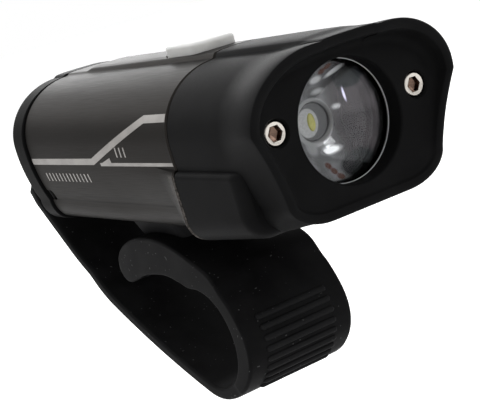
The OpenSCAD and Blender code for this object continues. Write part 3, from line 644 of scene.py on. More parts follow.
def plain_finish(name, colour, rough, grain_size=0.3):
    """A moulded, printed or coated surface with slight unevenness."""
    look = Look(name)
    grain = look.noise(grain_size, 3)
    cloud = look.noise(grain_size * 20, 2)
    look.colour(look.blend(look.band(cloud, 0.35, 0.65, 0, 1), shade(colour, 0.88), shade(colour, 1.06)))
    look.rough(look.band(grain, 0.3, 0.7, rough * 0.85, rough * 1.15))
    look.height(grain, 0.12, 0.02)
    return look.material


def clear_lens():
    """Coated clear plastic with the faintest wipe marks."""
    look = Look("clear_lens", Transmission_Weight=1.0, IOR=1.49, Specular_Tint=(0.15, 0.15, 0.16, 1))
    wipe = look.noise(4, 2, (1, 1, 5))
    look.colour(look.blend(look.band(wipe, 0.3, 0.7, 0, 1), (0.96, 0.975, 0.99), (0.98, 0.99, 1.0)))
    look.rough(look.band(wipe, 0.4, 0.7, 0.0, 0.02))
    return look.material


def mirror_bowl():
    """Vapour-coated mirror whose colour is painted reflection: pale on the near side and dark on the far
    side, which faces a dark room, with painted highlights and pale, brown and dark reflections painted in
    ovals, and near-black along the rim of its mouth.
    """
    pale, white, glint = (0.5, 0.5, 0.5), (1.0, 1.0, 1.0), (0.98, 0.98, 0.98)
    warm, deep = (0.16, 0.07, 0.05), (0.024, 0.026, 0.027)
    # Painted reflections and highlights, each an oval: place, reach, softness, lean and colour
    painted_reflections = (
        ((-0.6, -38.2, 43.0), (4.75, 3, 4.75), 0.08, 0, (0.55, 0.55, 0.55)),
        ((6.6, -41.6, 50.2), (3.6, 3, 3.2), 0.25, 0, deep),
        ((4.6, -42.2, 33.6), (4.6, 3, 3.4), 0.3, 0, deep),
        ((2.6, -42.1, 52.7), (1.0, 1.4, 0.8), 0.6, 30, warm),
        ((1.6, -41.4, 52.0), (1.0, 1.4, 0.9), 0.6, 30, warm),
        ((-1.3, -40.7, 34.9), (0.9, 1.4, 0.9), 0.5, 0, warm),
        ((-0.9, -41.6, 33.8), (0.9, 1.4, 0.9), 0.5, 0, warm),
        ((-0.4, -42.6, 32.7), (1.0, 1.4, 0.9), 0.5, 0, warm),
        ((4.2, -41.8, 51.5), (3.1, 3, 0.7), 0.6, 29, white),
        ((0.6, -40.3, 50.7), (1.7, 2, 1.0), 0.6, 0, white),
        ((1.4, -38.9, 48.4), (1.9, 2, 0.85), 0.8, 0, (0.8, 0.8, 0.8)),
        ((5.0, -38.6, 44.6), (1.4, 1, 0.8), 0.9, 0, pale),
        ((6.4, -40.0, 46.5), (0.28, 2, 2.1), 0.7, 14, (0.62, 0.6, 0.75)),
        ((1.3, -38.8, 37.2), (2.8, 4, 1.0), 0.6, 0, glint),
        ((-2.6, -38.6, 38.6), (1.9, 2, 2.2), 0.6, 0, pale),
    )
    look = Look("reflector_mirror")
    swirl = look.noise(2.5, 2)
    # Painted reflection: pale on the near side, dark on the far side
    near = look.blend(look.band(swirl, 0.35, 0.65, 0, 1), (0.22, 0.22, 0.22), (0.34, 0.34, 0.345))
    far = look.blend(look.band(swirl, 0.35, 0.65, 0, 1), (0.048, 0.044, 0.046), (0.066, 0.06, 0.062))
    tone = look.blend(look.along("X", 0, 4.5, 0, 1), near, far)
    shine = look.along("X", 3, 7, 0.2, 1)
    for place, reach, soft, lean, colour in painted_reflections:
        mask = look.patch(place, reach, soft, lean)
        tone = look.blend(mask, tone, colour)
        if colour is glint:
            most = look.add("ShaderNodeMath", operation="MAXIMUM")
            look.feed(most.inputs[0], shine)
            look.feed(most.inputs[1], mask)
            shine = most.outputs[0]
    # Near-black along the rim of the mouth
    look.colour(look.blend(look.along("Y", -43.3, -42.9, 0, 1), (0.006, 0.006, 0.006), tone))
    look.feed(look.shader.inputs["Metallic"], shine)
    look.rough(look.band(swirl, 0.3, 0.7, 0.04, 0.08))
    return look.material


def emitter_resin():
    """Pale base of the emitter, with painted shade over all but an oval on its near side, where its clear
    cover turns away.
    """
    look = Look("emitter_ceramic")
    grain = look.noise(0.5, 3)
    dark = look.blend(look.band(grain, 0.35, 0.65, 0, 1), (0.1, 0.1, 0.1), (0.14, 0.14, 0.14))
    pale = look.blend(look.band(grain, 0.35, 0.65, 0, 1), (0.48, 0.48, 0.47), (0.56, 0.56, 0.55))
    # Painted shade around a pale oval
    look.colour(look.blend(look.patch((-1.0, -37.1, 43), (2.5, 5, 2.9), 0.12), dark, pale))
    look.rough(look.band(grain, 0.3, 0.7, 0.3, 0.42))
    return look.material


# Pieces

# Places of the screws on both caps, their holes, and the rear cap's face
SCREW_X, SCREW_Z, SCREW_HEAD_HOLE, REAR_FACE = 16.1, 2.3, 2.45, 103.8


class HEADLIGHT_OT_shell(bpy.types.Operator):
    """Model the extruded shell with its flared lip, button slot and clip windows"""

    bl_idname = "headlight.shell"
    bl_label = "Shell"

    front, lip_end, back, wall = 30.5, 38.5, 96.9, 1.8
    slot_y, slot_l, slot_w, slot_chamfer = 44.5, 18.7, 10.7, 0.12
    # Clip windows at the rear edge: their middle, length, and lower and upper edges
    window_x, window_l, window_low, window_high, window_r = 18.6, 3.0, -11.7, -9.1, 0.8

    def execute(self, context):
        e = sizes().edge
        rings = [
            lamp_ring(lip_half(-e, LAND), self.front),
            lamp_ring(lip_half(0, LAND), self.front + e),
            lamp_ring(body_half(0, LAND), self.lip_end),
            lamp_ring(body_half(0, LAND), mix(self.lip_end, LAND_END, 0.5)),
            lamp_ring(body_half(0, LAND), LAND_END),
            lamp_ring(body_half(), RAMP_END),
            lamp_ring(body_half(), self.back - e),
            lamp_ring(body_half(-e), self.back),
            lamp_ring(body_half(-self.wall), self.back),
            lamp_ring(body_half(-self.wall), self.front),
        ]
        shell = loft("shell", rings, closed=True)
        top, c = SPINE_TOP + LAND, self.slot_chamfer
        slot = []
        for z, g in ((10, 0), (top - 0.2, 0), (top + 0.05, c), (top + 2, c)):
            outline = stadium(self.slot_l + 2 * g, self.slot_w + 2 * g)
            slot.append([lamp_point(x, y + self.slot_y, z) for x, y in outline])
        carve(shell, loft("slot_tool", slot))
        for side in (-1, 1):
            low = (side * self.window_x - 3, self.back - self.window_l, self.window_low)
            high = (side * self.window_x + 3, self.back + 2, self.window_high)
            carve(shell, soften(block("window_tool", low, high), self.window_r))
        place_piece(smooth(shell), shell_metal(), "lamp", "shell_metal", "body_shell")
        return {"FINISHED"}


class HEADLIGHT_OT_front_cap(bpy.types.Operator):
    """Model the moulded front cap with its visored head, chin block and recessed face"""

    bl_idname = "headlight.front_cap"
    bl_label = "Front cap"

    length, flare_start, visor, rim, rim_w, rim_bulge = 30.0, 12.0, 5.2, 0.5, 1.9, 0.55
    wall, cavity, seat = 2.4, 15.0, 3.8
    hole_r, bore_r, screw_seat, shank_hole = 11.4, 12.5, 3.0, 1.25
    chin_front, chin_r, chin_draw, chin_rise = 7.6, 3.0, 1.9, 1.4
    # How the wall falls back behind the rim, in shares of the rim's width and of its lead
    fall = ((1, 0), (1.1, 0.42), (1.25, 0.72), (1.5, 0.9), (1.8, 0.98), (2.1, 1))

    def rim_y(self, z):
        """Place of the leaning rim at a height."""
        share = max(0.0, (z + HEAD_DROP) / (HEAD_TOP + SPINE_STEP + HEAD_DROP))
        return -mix(self.rim, self.visor, share**1.4)

    def land(self, y):
        """Height of the land, which rises a little towards the visor."""
        return mix(LAND_AHEAD, LAND, y / self.length)

    def head_ring(self, u):
        """A section of the head, at a share of the way from the sleeve to the rim."""
        sleeve = both_sides(body_half(0, self.land(self.flare_start)))
        head = both_sides(head_half())
        # The land keeps its height almost to the visor, and then steps down
        land_share = eased((u - 0.55) / 0.2)
        ring = []
        for k, ((ax, az), (bx, bz)) in enumerate(zip(sleeve, head)):
            on_land = min(k, len(head) - k) < SPINE_POINTS - 1
            x, z = mix(ax, bx, eased(u)), mix(az, bz, land_share if on_land else eased(u))
            ring.append(lamp_point(x, mix(self.flare_start, self.rim_y(z), u), z))
        return ring

    def rim_ring(self, g, lead=0.0, back=0.0):
        """The rim's outline drawn in by g, moved by a lead or set back by a share of its own."""
        return lamp_ring(head_half(g), lambda z: self.rim_y(z) * (1 - back) + lead)

    def moulding(self):
        rings = [
            lamp_ring(body_half(-self.wall), self.cavity),
            lamp_ring(body_half(-self.wall), self.length),
            lamp_ring(body_half(-0.25, self.land(self.length)), self.length),
            lamp_ring(body_half(0, self.land(self.length)), self.length - 0.25),
            lamp_ring(body_half(0, self.land(20)), 20),
        ]
        rings += [self.head_ring(k / 16) for k in range(17)]
        for k in range(1, 8):
            turn = math.pi * k / 8
            drawn_in = self.rim_w * (1 - math.cos(turn)) / 2
            rings.append(self.rim_ring(drawn_in, -self.rim_bulge * math.sin(turn)))
        for share, back in self.fall:
            rings.append(self.rim_ring(self.rim_w * share, back=back))
        return loft("front_cap_moulding", rings)

    def chin(self):
        rings = [lamp_ring(chin_half(0.25), self.length), lamp_ring(chin_half(), self.length - 0.25)]
        for k in range(7):
            turn = math.radians(15 * k)
            section = chin_half(self.chin_draw * (1 - math.cos(turn)), self.chin_rise)
            rings.append(lamp_ring(section, self.chin_front + self.chin_r * (1 - math.sin(turn))))
        return loft("chin_block", rings)

    def execute(self, context):
        cap = carve(self.moulding(), self.chin(), "UNION")
        r, ahead = self.hole_r, -8
        hole = [(r + 0.7, ahead), (r + 0.7, -0.1), (r + 0.25, 0.12), (r, 0.5)]
        hole += [(r, self.seat), (self.bore_r, self.seat), (self.bore_r, self.cavity + 1)]
        carve(cap, turned("lens_tool", hole, segments=96))
        r, seat, shank = SCREW_HEAD_HOLE, self.screw_seat, self.shank_hole
        bore = [(r + 0.4, ahead), (r + 0.4, -0.1), (r + 0.1, 0.25), (r, 0.6)]
        bore += [(r, seat), (shank, seat), (shank, self.length + 2)]
        for side in (-1, 1):
            carve(cap, turned("screw_tool", bore, (side * SCREW_X, SCREW_Z), 40))
        place_piece(smooth(cap), moulded_plastic(), "lamp", "cap_plastic", "front_cap")
        return {"FINISHED"}


class HEADLIGHT_OT_rear_cap(bpy.types.Operator):
    """Model the rear cap with its spigot, port, screw seats and strap hook"""

    bl_idname = "headlight.rear_cap"
    bl_label = "Rear cap"

    front, face, proud, round_r, spigot = 97.4, REAR_FACE, 0.6, 1.4, 4.0
    port_z, port_w, port_h, stud_z, stud_hole = 9.2, 11.4, 5.0, 2.5, 1.45
    screw_seat, shank_hole = 3.0, 1.22
    hook_half_w, hook_l, hook_low, hook_top, lip_t, lip_top = 6.0, 5.59, -14.8, -12.4, 1.3, -11.4

    def outline(self, g):
        """The cap's section, proud at the sides and below, with its top level with the shell's."""
        squat = (SPINE_TOP - WIDE_Z) / (SPINE_TOP + self.proud - WIDE_Z)
        return [(x, mix(WIDE_Z, z, squat) if z > WIDE_Z else z) for x, z in body_half(g)]

    def moulding(self):
        rings = [
            lamp_ring(body_half(-3.4), self.front),
            lamp_ring(body_half(-3.4), self.front - self.spigot),
            lamp_ring(body_half(-2.0), self.front - self.spigot),
            lamp_ring(body_half(-2.0), self.front),
            lamp_ring(self.outline(self.proud - 0.2), self.front),
            lamp_ring(self.outline(self.proud), self.front + 0.2),
        ]
        for k in range(7):
            turn = math.radians(15 * k)
            g = self.proud - self.round_r * (1 - math.cos(turn))
            rings.append(lamp_ring(self.outline(g), self.face - self.round_r * (1 - math.sin(turn))))
        return loft("rear_cap_moulding", rings)

    def hook(self):
        """The strap's hook, with its upturned lip."""
        w, end = self.hook_half_w, self.face + self.hook_l
        hook = block("hook_tool", (-w, self.face - 1, self.hook_low), (w, end, self.hook_top))
        lip = block("lip_tool", (-w, end - self.lip_t, self.hook_low + 0.8), (w, end, self.lip_top))
        return soften(carve(hook, lip, "UNION"), 0.45, 2)

    def execute(self, context):
        cap = carve(self.moulding(), self.hook(), "UNION")
        face, ahead, behind = self.face, 90, 110
        port = []
        for y, g in ((self.front - 1, 0), (face - 0.4, 0), (face + 0.1, 0.35), (face + 1, 0.35)):
            outline = stadium(self.port_w + 2 * g, self.port_h + 2 * g)
            port.append([lamp_point(x, y, z + self.port_z) for z, x in outline])
        carve(cap, loft("port_tool", port))
        r, seat_y, shank = SCREW_HEAD_HOLE, face - self.screw_seat, self.shank_hole
        seat = [(shank, ahead), (shank, seat_y), (r, seat_y), (r, face - 0.4)]
        seat += [(r + 0.3, face + 0.05), (r + 0.3, face + 2)]
        for side in (-1, 1):
            carve(cap, turned("seat_tool", seat, (side * SCREW_X, SCREW_Z), 40))
        stud = [(self.stud_hole, ahead), (self.stud_hole, behind)]
        carve(cap, turned("stud_tool", stud, (0, self.stud_z), 32))
        place_piece(smooth(cap), moulded_plastic("rear_plastic"), "lamp", "cap_plastic", "rear_cap")
        return {"FINISHED"}


class HEADLIGHT_OT_screws(bpy.types.Operator):
    """Model one socket head screw and set copies in both caps"""

    bl_idname = "headlight.screws"
    bl_label = "Cap screws"

    inset, head_r, head_h, shank_r, socket_r = 0.5, 2.25, 2.5, 1.2, 1.5
    front_length, rear_length = 40.0, 16.4

    def screw(self, name, length):
        """A screw in the front cap's left seat, with its hexagon socket."""
        top, r, h, shank, s = self.inset, self.head_r, self.head_h, self.shank_r, self.socket_r
        head = [(r - 0.7, top + 0.05), (r - 0.55, top), (r - 0.2, top), (r - 0.05, top + 0.12)]
        head += [(r, top + 0.35), (r, top + h - 0.1), (r - 0.1, top + h)]
        screw = turned(name, head + [(shank, top + h), (shank, top + length)], (-SCREW_X, SCREW_Z), 48)
        socket = [(s + 0.25, top - 1), (s + 0.2, top - 0.05), (s, top + 0.18)]
        socket += [(s - 0.05, top + 1.4), (0.3, top + 1.75)]
        carve(screw, turned("socket_tool", socket, (-SCREW_X, SCREW_Z), 6))
        return smooth(screw, 30)

    def execute(self, context):
        nickel = screw_nickel()
        across = (2 * SCREW_X, 0, 0)
        left = self.screw("front_screw_left", self.front_length)
        right = copy_of(left, "front_screw_right", across)
        rear_left = self.screw("rear_screw_left", self.rear_length)
        half_way = Matrix.Translation(lamp_point(-SCREW_X, REAR_FACE / 2, 0))
        rear_left.data.transform(half_way @ Matrix.Rotation(math.pi, 4, "Z") @ half_way.inverted())
        rear_right = copy_of(rear_left, "rear_screw_right", across)
        place_piece(left, nickel, "lamp", "screw_steel", "front_screws")
        place_piece(right, nickel, "lamp", "screw_steel")
        place_piece(rear_left, nickel, "lamp", "screw_steel", "rear_screws")
        place_piece(rear_right, nickel, "lamp", "screw_steel")
        return {"FINISHED"}


class HEADLIGHT_OT_optics(bpy.types.Operator):
    """Turn the lens and reflector, and model the emitter"""

    bl_idname = "headlight.optics"
    bl_label = "Optics"

    lens_front, lens_back, lens_r = 4.4, 6.4, 12.3
    mouth_r, hole_r, depth, neck, wall = 11.4, 4.0, 7.0, 1.5, 0.9
    floor = lens_back + depth
    base_r, tile_x, tile_half_w, tile_half_h = 3.6, -0.2, 0.85, 1.75
    # Height over the floor and share of the outline of the tile's domed sections
    tile_dome = ((0.35, 1), (0.55, 0.96), (0.7, 0.8), (0.76, 0.5))
    # Pale ring in the corner round the lens, a painted highlight along the lens's edge: its radii and its
    # seat
    bead_in, bead_out, bead_y = 11.26, 11.42, 3.8

    def lens(self):
        a, b, r = self.lens_front, self.lens_back, self.lens_r
        edge = [(r - 0.7, a), (r - 0.25, a + 0.12), (r, a + 0.4), (r, b - 0.2), (r - 0.2, b)]
        disc = smooth(turned("lens_disc", edge, segments=96))
        place_piece(disc, clear_lens(), "lamp", "clear_lens", "lens")

    def bowl_y(self, r):
        """Place of the reflector's parabola at a radius."""
        full = self.mouth_r**2 - self.hole_r**2
        return self.lens_back + (self.depth - self.neck) * (self.mouth_r**2 - r * r) / full

    def reflector(self):
        inside = [mix(self.mouth_r, self.hole_r, k / 28) for k in range(29)]
        hole, floor = self.hole_r, self.floor
        profile = [(x, self.bowl_y(x)) for x in inside] + [(hole - 0.15, floor - self.neck + 0.2)]
        profile += [(hole - 0.3, floor - 0.05), (hole + self.wall, floor - 0.05)]
        profile += [(x + self.wall, self.bowl_y(x)) for x in reversed(inside)]
        bowl = smooth(turned("reflector_bowl", profile, segments=96, closed=True), 40)
        place_piece(bowl, mirror_bowl(), "lamp", "reflector_chrome", "reflector")

    def emitter(self):
        r, floor = self.base_r, self.floor
        base = [(r, floor - 0.05), (r, floor - 0.25), (r - 0.15, floor - 0.4)]
        foot = smooth(turned("emitter_base", base, segments=48))
        place_piece(foot, emitter_resin(), "lamp", "emitter_board", "led_emitter")
        outline = oval((0, 0), self.tile_half_w, self.tile_half_h, 0, 350, 35)
        rings = [
            [lamp_point(x * k + self.tile_x, floor - rise, z * k) for x, z in outline]
            for rise, k in self.tile_dome
        ]
        phosphor = plain_finish("emitter_phosphor", (0.66, 0.62, 0.16), 0.3, grain_size=0.1)
        place_piece(smooth(loft("emitter_tile", rings), 50), phosphor, "lamp", "emitter_phosphor")

    def bead(self):
        a, b, y = self.bead_in, self.bead_out, self.bead_y
        profile = [(a, y - 0.02), (a + 0.04, y - 0.16), (b - 0.04, y - 0.18), (b, y - 0.02)]
        bead = smooth(turned("lens_bead", profile, segments=96, closed=True))
        # Painted highlight: a matt pale grey, not a clear finish
        clear = plain_finish("lens_bead_painted_highlight", (0.5, 0.51, 0.52), 0.2)
        place_piece(bead, clear, "lamp", "clear_lens")

    def execute(self, context):
        self.lens()
        self.reflector()
        self.emitter()
        self.bead()
        return {"FINISHED"}


class HEADLIGHT_OT_button(bpy.types.Operator):
    """Model the soft power button with its flange and crowned top"""

    bl_idname = "headlight.button"
    bl_label = "Power button"

    y, length, width, bottom, top = 44.5, 18.0, 10.0, 12.1, 18.6
    flange, flange_t, edge_r, crown_inset = 0.9, 0.8, 0.75, 4.4

    def ring(self, inset, z):
        outline = stadium(self.length - 2 * inset, self.width - 2 * inset)
        return [lamp_point(x, y + self.y, z) for x, y in outline]

    def execute(self, context):
        crown, r = sizes().button_crown, self.edge_r
        rim, neck = self.top - crown, self.bottom + self.flange_t
        rings = [self.ring(-self.flange, self.bottom), self.ring(-self.flange, neck), self.ring(0, neck)]
        for k in range(6):
            turn = math.radians(18 * k)
            rings.append(self.ring(r * (1 - math.cos(turn)), rim - r * (1 - math.sin(turn))))
        for k in range(1, 5):
            share = k / 4
            rise = crown * (1 - (1 - share) ** 2)
            rings.append(self.ring(mix(r, self.crown_inset, share), rim + rise))
        button = smooth(loft("button_cap", rings), 50)
        place_piece(button, button_rubber(), "power_button", "button_rubber", "power_button")
        return {"FINISHED"}


class HEADLIGHT_OT_foot(bpy.types.Operator):
    """Model the tapered foot between the shell and the strap"""

    bl_idname = "headlight.foot"
    bl_label = "Foot"

    middle, half_len, corner_r = 15.5, 9.0, 1.2
    # Half width, height and inset of its sections, from the shell down into the saddle
    sections = (
        (11.6, 26, 0.2),
        (11.5, 25.8, 0),
        (8.2, 19.3, 0),
        (10.4, 19.3, 0),
        (10.4, 17.4, 0),
        (10.4, 17.1, 0.3),
    )

    def ring(self, half_w, z, inset):
        outline = rounded_box(half_w - inset, self.half_len - inset, self.corner_r)
        return [bar_point(x, y + self.middle, z) for x, y in outline]

    def execute(self, context):
        foot = smooth(loft("foot_block", [self.ring(*section) for section in self.sections]))
        # Painted light: the foot's moulding is three times lighter than the caps', where it catches light
        place_piece(foot, moulded_plastic("foot_plastic_painted_light", 3.0), "lamp", "cap_plastic", "mount_foot")
        return {"FINISHED"}


def between(a, b, c, d, t):
    """A value at a share of the way from b to c, on a smooth curve through a, b, c and d."""
    square, cube = 2 * a - 5 * b + 4 * c - d, 3 * b - a - 3 * c + d
    return 0.5 * (2 * b + (c - a) * t + square * t**2 + cube * t**3)


def curve_through(points, steps):
    """A smooth curve through stations."""
    out, last = [], len(points) - 1
    for i in range(last):
        near = [points[min(max(k, 0), last)] for k in (i - 1, i, i + 1, i + 2)]
        out += [tuple(between(*four, k / steps) for four in zip(*near)) for k in range(steps)]
    return out + [tuple(points[last])]


BAR_R, BAND_T, PAD_RISE, PAD_MID, PAD_SWEEP = 11.1, 4.2, 0.85, 184.0, 36.0
BAND_TOP, BAND_END, BEND_END, TAIL_T, STRAP_W = 134.0, 232.0, 286.0, 2.7, 27.0
# Angles between which the band thins to the thickness of the tail
THIN_FROM, THIN_TO = 200.0, 256.0


def band_out(angle):
    """Outer radius of the front band, thicker at the grip pad and thinning towards the tail."""
    away = abs(angle - PAD_MID)
    swell = PAD_RISE * math.cos(math.radians(90 * away / PAD_SWEEP)) ** 2 if away < PAD_SWEEP else 0
    return BAR_R + mix(BAND_T, TAIL_T, eased((angle - THIN_FROM) / (THIN_TO - THIN_FROM))) + swell


class HEADLIGHT_OT_strap(bpy.types.Operator):
    """Model the rubber strap: saddle, ribbed band, bend and tail with its eyelet"""

    bl_idname = "headlight.strap"
    bl_label = "Strap"

    # Saddle stations from the rear tip to the band: top y, top z, underside y, underside z
    saddle = [
        (31.6, 14.2, 31.3, 12.6),
        (31.0, 16.6, 30.5, 11.1),
        (28.5, 18.8, 28.4, 10.3),
        (24.6, 20.5, 24.4, 11.3),
        (20.8, 21.4, 21.0, 12.4),
        (16.5, 21.75, 16.0, 13.1),
        (12.3, 21.7, 10.5, 13.2),
        (7.5, 20.9, 5.7, 12.2),
        (2.8, 19.5, 2.0, 11.1),
        (-1.8, 17.6, -1.35, 11.02),
        (-7.56, 14.84, -5.04, 9.89),
    ]
    # Slopes of the tail where it leaves the loop, at its knee and up the rear cap, with its two radii
    tail_slope, knee_slope, rise_slope, sag_r, bend_r = 19.5, 29.0, 69.0, 240.6, 26.0
    flare_z, end_w, eyelet_top = 11.0, 18.4, 36.2
    # Straight stretch at the pull end, and the length and depth of its rounded corners
    pull_l, round_l, round_w = 5.0, 3.2, 2.6
    slot_z, slot_half_w, slot_half_h, slot_r = 29.9, 7.1, 2.8, 1.2
    rib_r, rib_half_w, rib_sink, first_rib = 0.75, 9.1, 0.15, 162.0
    # The bend under the bar, between the places where the band and the tail keep their shape
    bend_from, bend_to, bend_z = -7.5, 3.4, -12.4

    def section(self, station, half_w):
        """A rounded rectangle between the strap's outer and inner line."""
        oy, oz, iy, iz = station
        thick = math.hypot(oy - iy, oz - iz)
        r = min(sizes().rubber_edge, thick * 0.45)
        ring = []
        for x, h in rounded_box(half_w, thick / 2, r, 4):
            t = 0.5 + h / thick
            ring.append(bar_point(x, mix(iy, oy, t), mix(iz, oz, t)))
        return ring

    def rib(self, angle):
        """A rib across the band, with rounded ends."""
        y, z = polar(band_out(angle) - self.rib_sink, angle)
        end = -self.rib_half_w
        left = [(end, 0.35), (end + 0.25, 0.8), (end + 0.7, 1)]
        rings = []
        for x, share in left + [(-x, share) for x, share in reversed(left)]:
            circle = oval((y, z), share * self.rib_r, share * self.rib_r, 0, 340, 17)
            rings.append([bar_point(x, a, b) for a, b in circle])
        return loft("rib_tool", rings)

    def band(self):
        stations = list(self.saddle)
        for k in range(13):
            angle = mix(BAND_TOP, BAND_END, k / 12)
            stations.append((*polar(band_out(angle), angle), *polar(BAR_R, angle)))
        rings = [self.section(s, STRAP_W / 2) for s in curve_through(stations, 4)]
        strap = loft("strap_loop", rings)
        count = sizes().ribs
        for k in range(count):
            angle = mix(self.first_rib, BAND_END - 4, k / (count - 1))
            carve(strap, self.rib(angle), "UNION")
        return strap

    def arc(self, start, radius, a, b, steps):
        """Points on an arc that begins at start with slope a and ends with slope b."""
        centre = start - Vector(polar(radius, a - 90))
        slopes = [mix(a, b, k / steps) for k in range(steps + 1)]
        return [(centre + Vector(polar(radius, s - 90)), s) for s in slopes]

    def tail_stations(self):
        """Stations from the bend under the bar to the eyelet's end."""
        out, mid = [], BAR_R + TAIL_T / 2
        for k in range(11):
            angle = mix(BAND_END, BEND_END, k / 10)
            out.append((*polar(band_out(angle), angle), *polar(BAR_R, angle)))
        start = Vector(polar(mid, 270 + self.tail_slope))
        path = self.arc(start, self.sag_r, self.tail_slope, self.knee_slope, 8)
        path += self.arc(path[-1][0], self.bend_r, self.knee_slope, self.rise_slope, 12)[1:]
        stop, rise = path[-1][0], Vector(polar(1, self.rise_slope))
        end = stop + rise * ((self.eyelet_top - stop.y) / rise.y)
        path += [(stop.lerp(end, k / 6), self.rise_slope) for k in range(1, 7)]
        for point, slope in path:
            normal = Vector(polar(TAIL_T / 2, slope - 90))
            out.append((*(point + normal), *(point - normal)))
        return out

    def tail_half_w(self, z):
        """Half width of the tail, which flares towards its pull end."""
        top = self.eyelet_top
        share = min(max((z - self.flare_z) / (top - self.pull_l - self.flare_z), 0), 1)
        near_end = min(max((z - top + self.round_l) / self.round_l, 0), 1)
        drawn_in = self.round_w * (1 - math.sqrt(1 - near_end**2 * 0.96))
        return mix(STRAP_W / 2, self.end_w, share) - drawn_in

    def tail(self):
        stations = self.tail_stations()
        rings = [self.section(s, self.tail_half_w((s[1] + s[3]) / 2)) for s in stations]
        tail = loft("strap_tail_run", rings)
        outline = rounded_box(self.slot_half_w, self.slot_half_h, self.slot_r)
        slot = [[bar_point(x, y, z + self.slot_z) for x, z in outline] for y in (50, 62)]
        return carve(tail, loft("eyelet_tool", slot))

    def execute(self, context):
        rubber = strap_rubber()
        place_piece(smooth(self.band(), 40), rubber, "lamp", "strap_rubber", "strap_band")
        tail = smooth(self.tail(), 40)
        place_piece(tail, rubber, None, "strap_rubber", "strap_bend", "strap_tail", "strap_eyelet")
        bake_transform(tail)
        return {"FINISHED"}


class HEADLIGHT_OT_port_plug(bpy.types.Operator):
    """Model the rubber plug over the charging port, in one with its tether"""

    bl_idname = "headlight.port_plug"
    bl_label = "Port plug"

    face, low, high, half_w, corner_r = 104.0, 5.4, 14.2, 7.5, 2.6
    tongue_z, tongue_w, tongue_h = 9.2, 6.6, 2.0
    grip_half_w, grip_low, grip_high, grip_out = 4.0, 12.2, 13.2, 1.9
    stud_z, stud_r, hinge_y, hinge_from, hinge_to = 2.5, 1.4, 104.9, 4.5, 5.7
    # Distance behind the face and inset of the cover's sections
    cover = ((0, 0.25), (0.2, 0), (0.95, 0), (1.25, 0.2), (1.4, 0.55))
    # Height, half width and thickness of the tether's sections, thinner where it bends
    tether = (
        (0.9, 2.2, 0.9),
        (1.4, 2.7, 0.9),
        (2.2, 3, 0.9),
        (3.6, 3, 0.9),
        (4.4, 2.8, 0.9),
        (4.8, 2.7, 0.7),
        (5.1, 2.7, 0.7),
        (5.4, 2.7, 0.7),
        (5.7, 2.7, 0.7),
        (6.4, 2.8, 0.7),
    )

    def flap(self):
        middle, half_h = (self.low + self.high) / 2, (self.high - self.low) / 2
        rings = []
        for y, g in self.cover:
            outline = rounded_box(self.half_w - g, half_h - g, self.corner_r - g)
            rings.append([lamp_point(x, self.face + y, z + middle) for x, z in outline])
        flap = loft("plug_cover", rings)
        low = (-self.grip_half_w, self.face + 1, self.grip_low)
        high = (self.grip_half_w, self.face + self.grip_out, self.grip_high)
        carve(flap, soften(block("grip_tool", low, high), 0.35), "UNION")
        outline = stadium(self.tongue_w, self.tongue_h)
        ends = (self.face - 1.6, self.face + 0.5)
        tongue = [[lamp_point(x, y, z + self.tongue_z) for z, x in outline] for y in ends]
        return carve(flap, loft("tongue_tool", tongue), "UNION")

    def neck(self):
        rings = []
        for z, half_w, thick in self.tether:
            outline = rounded_box(half_w, thick / 2, 0.25, 3)
            rings.append([lamp_point(x, self.face + 0.45 + y, z) for x, y in outline])
        neck = loft("tether_tool", rings)
        shank = [(self.stud_r, 98), (self.stud_r, self.face + 0.4)]
        return carve(neck, turned("stud_tool", shank, (0, self.stud_z), 32), "UNION")

    def execute(self, context):
        plug = smooth(carve(self.flap(), self.neck(), "UNION"), 40)
        place_piece(plug, strap_rubber("plug_rubber"), None, "strap_rubber", "port_plug", "plug_tether")
        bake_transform(plug)
        return {"FINISHED"}


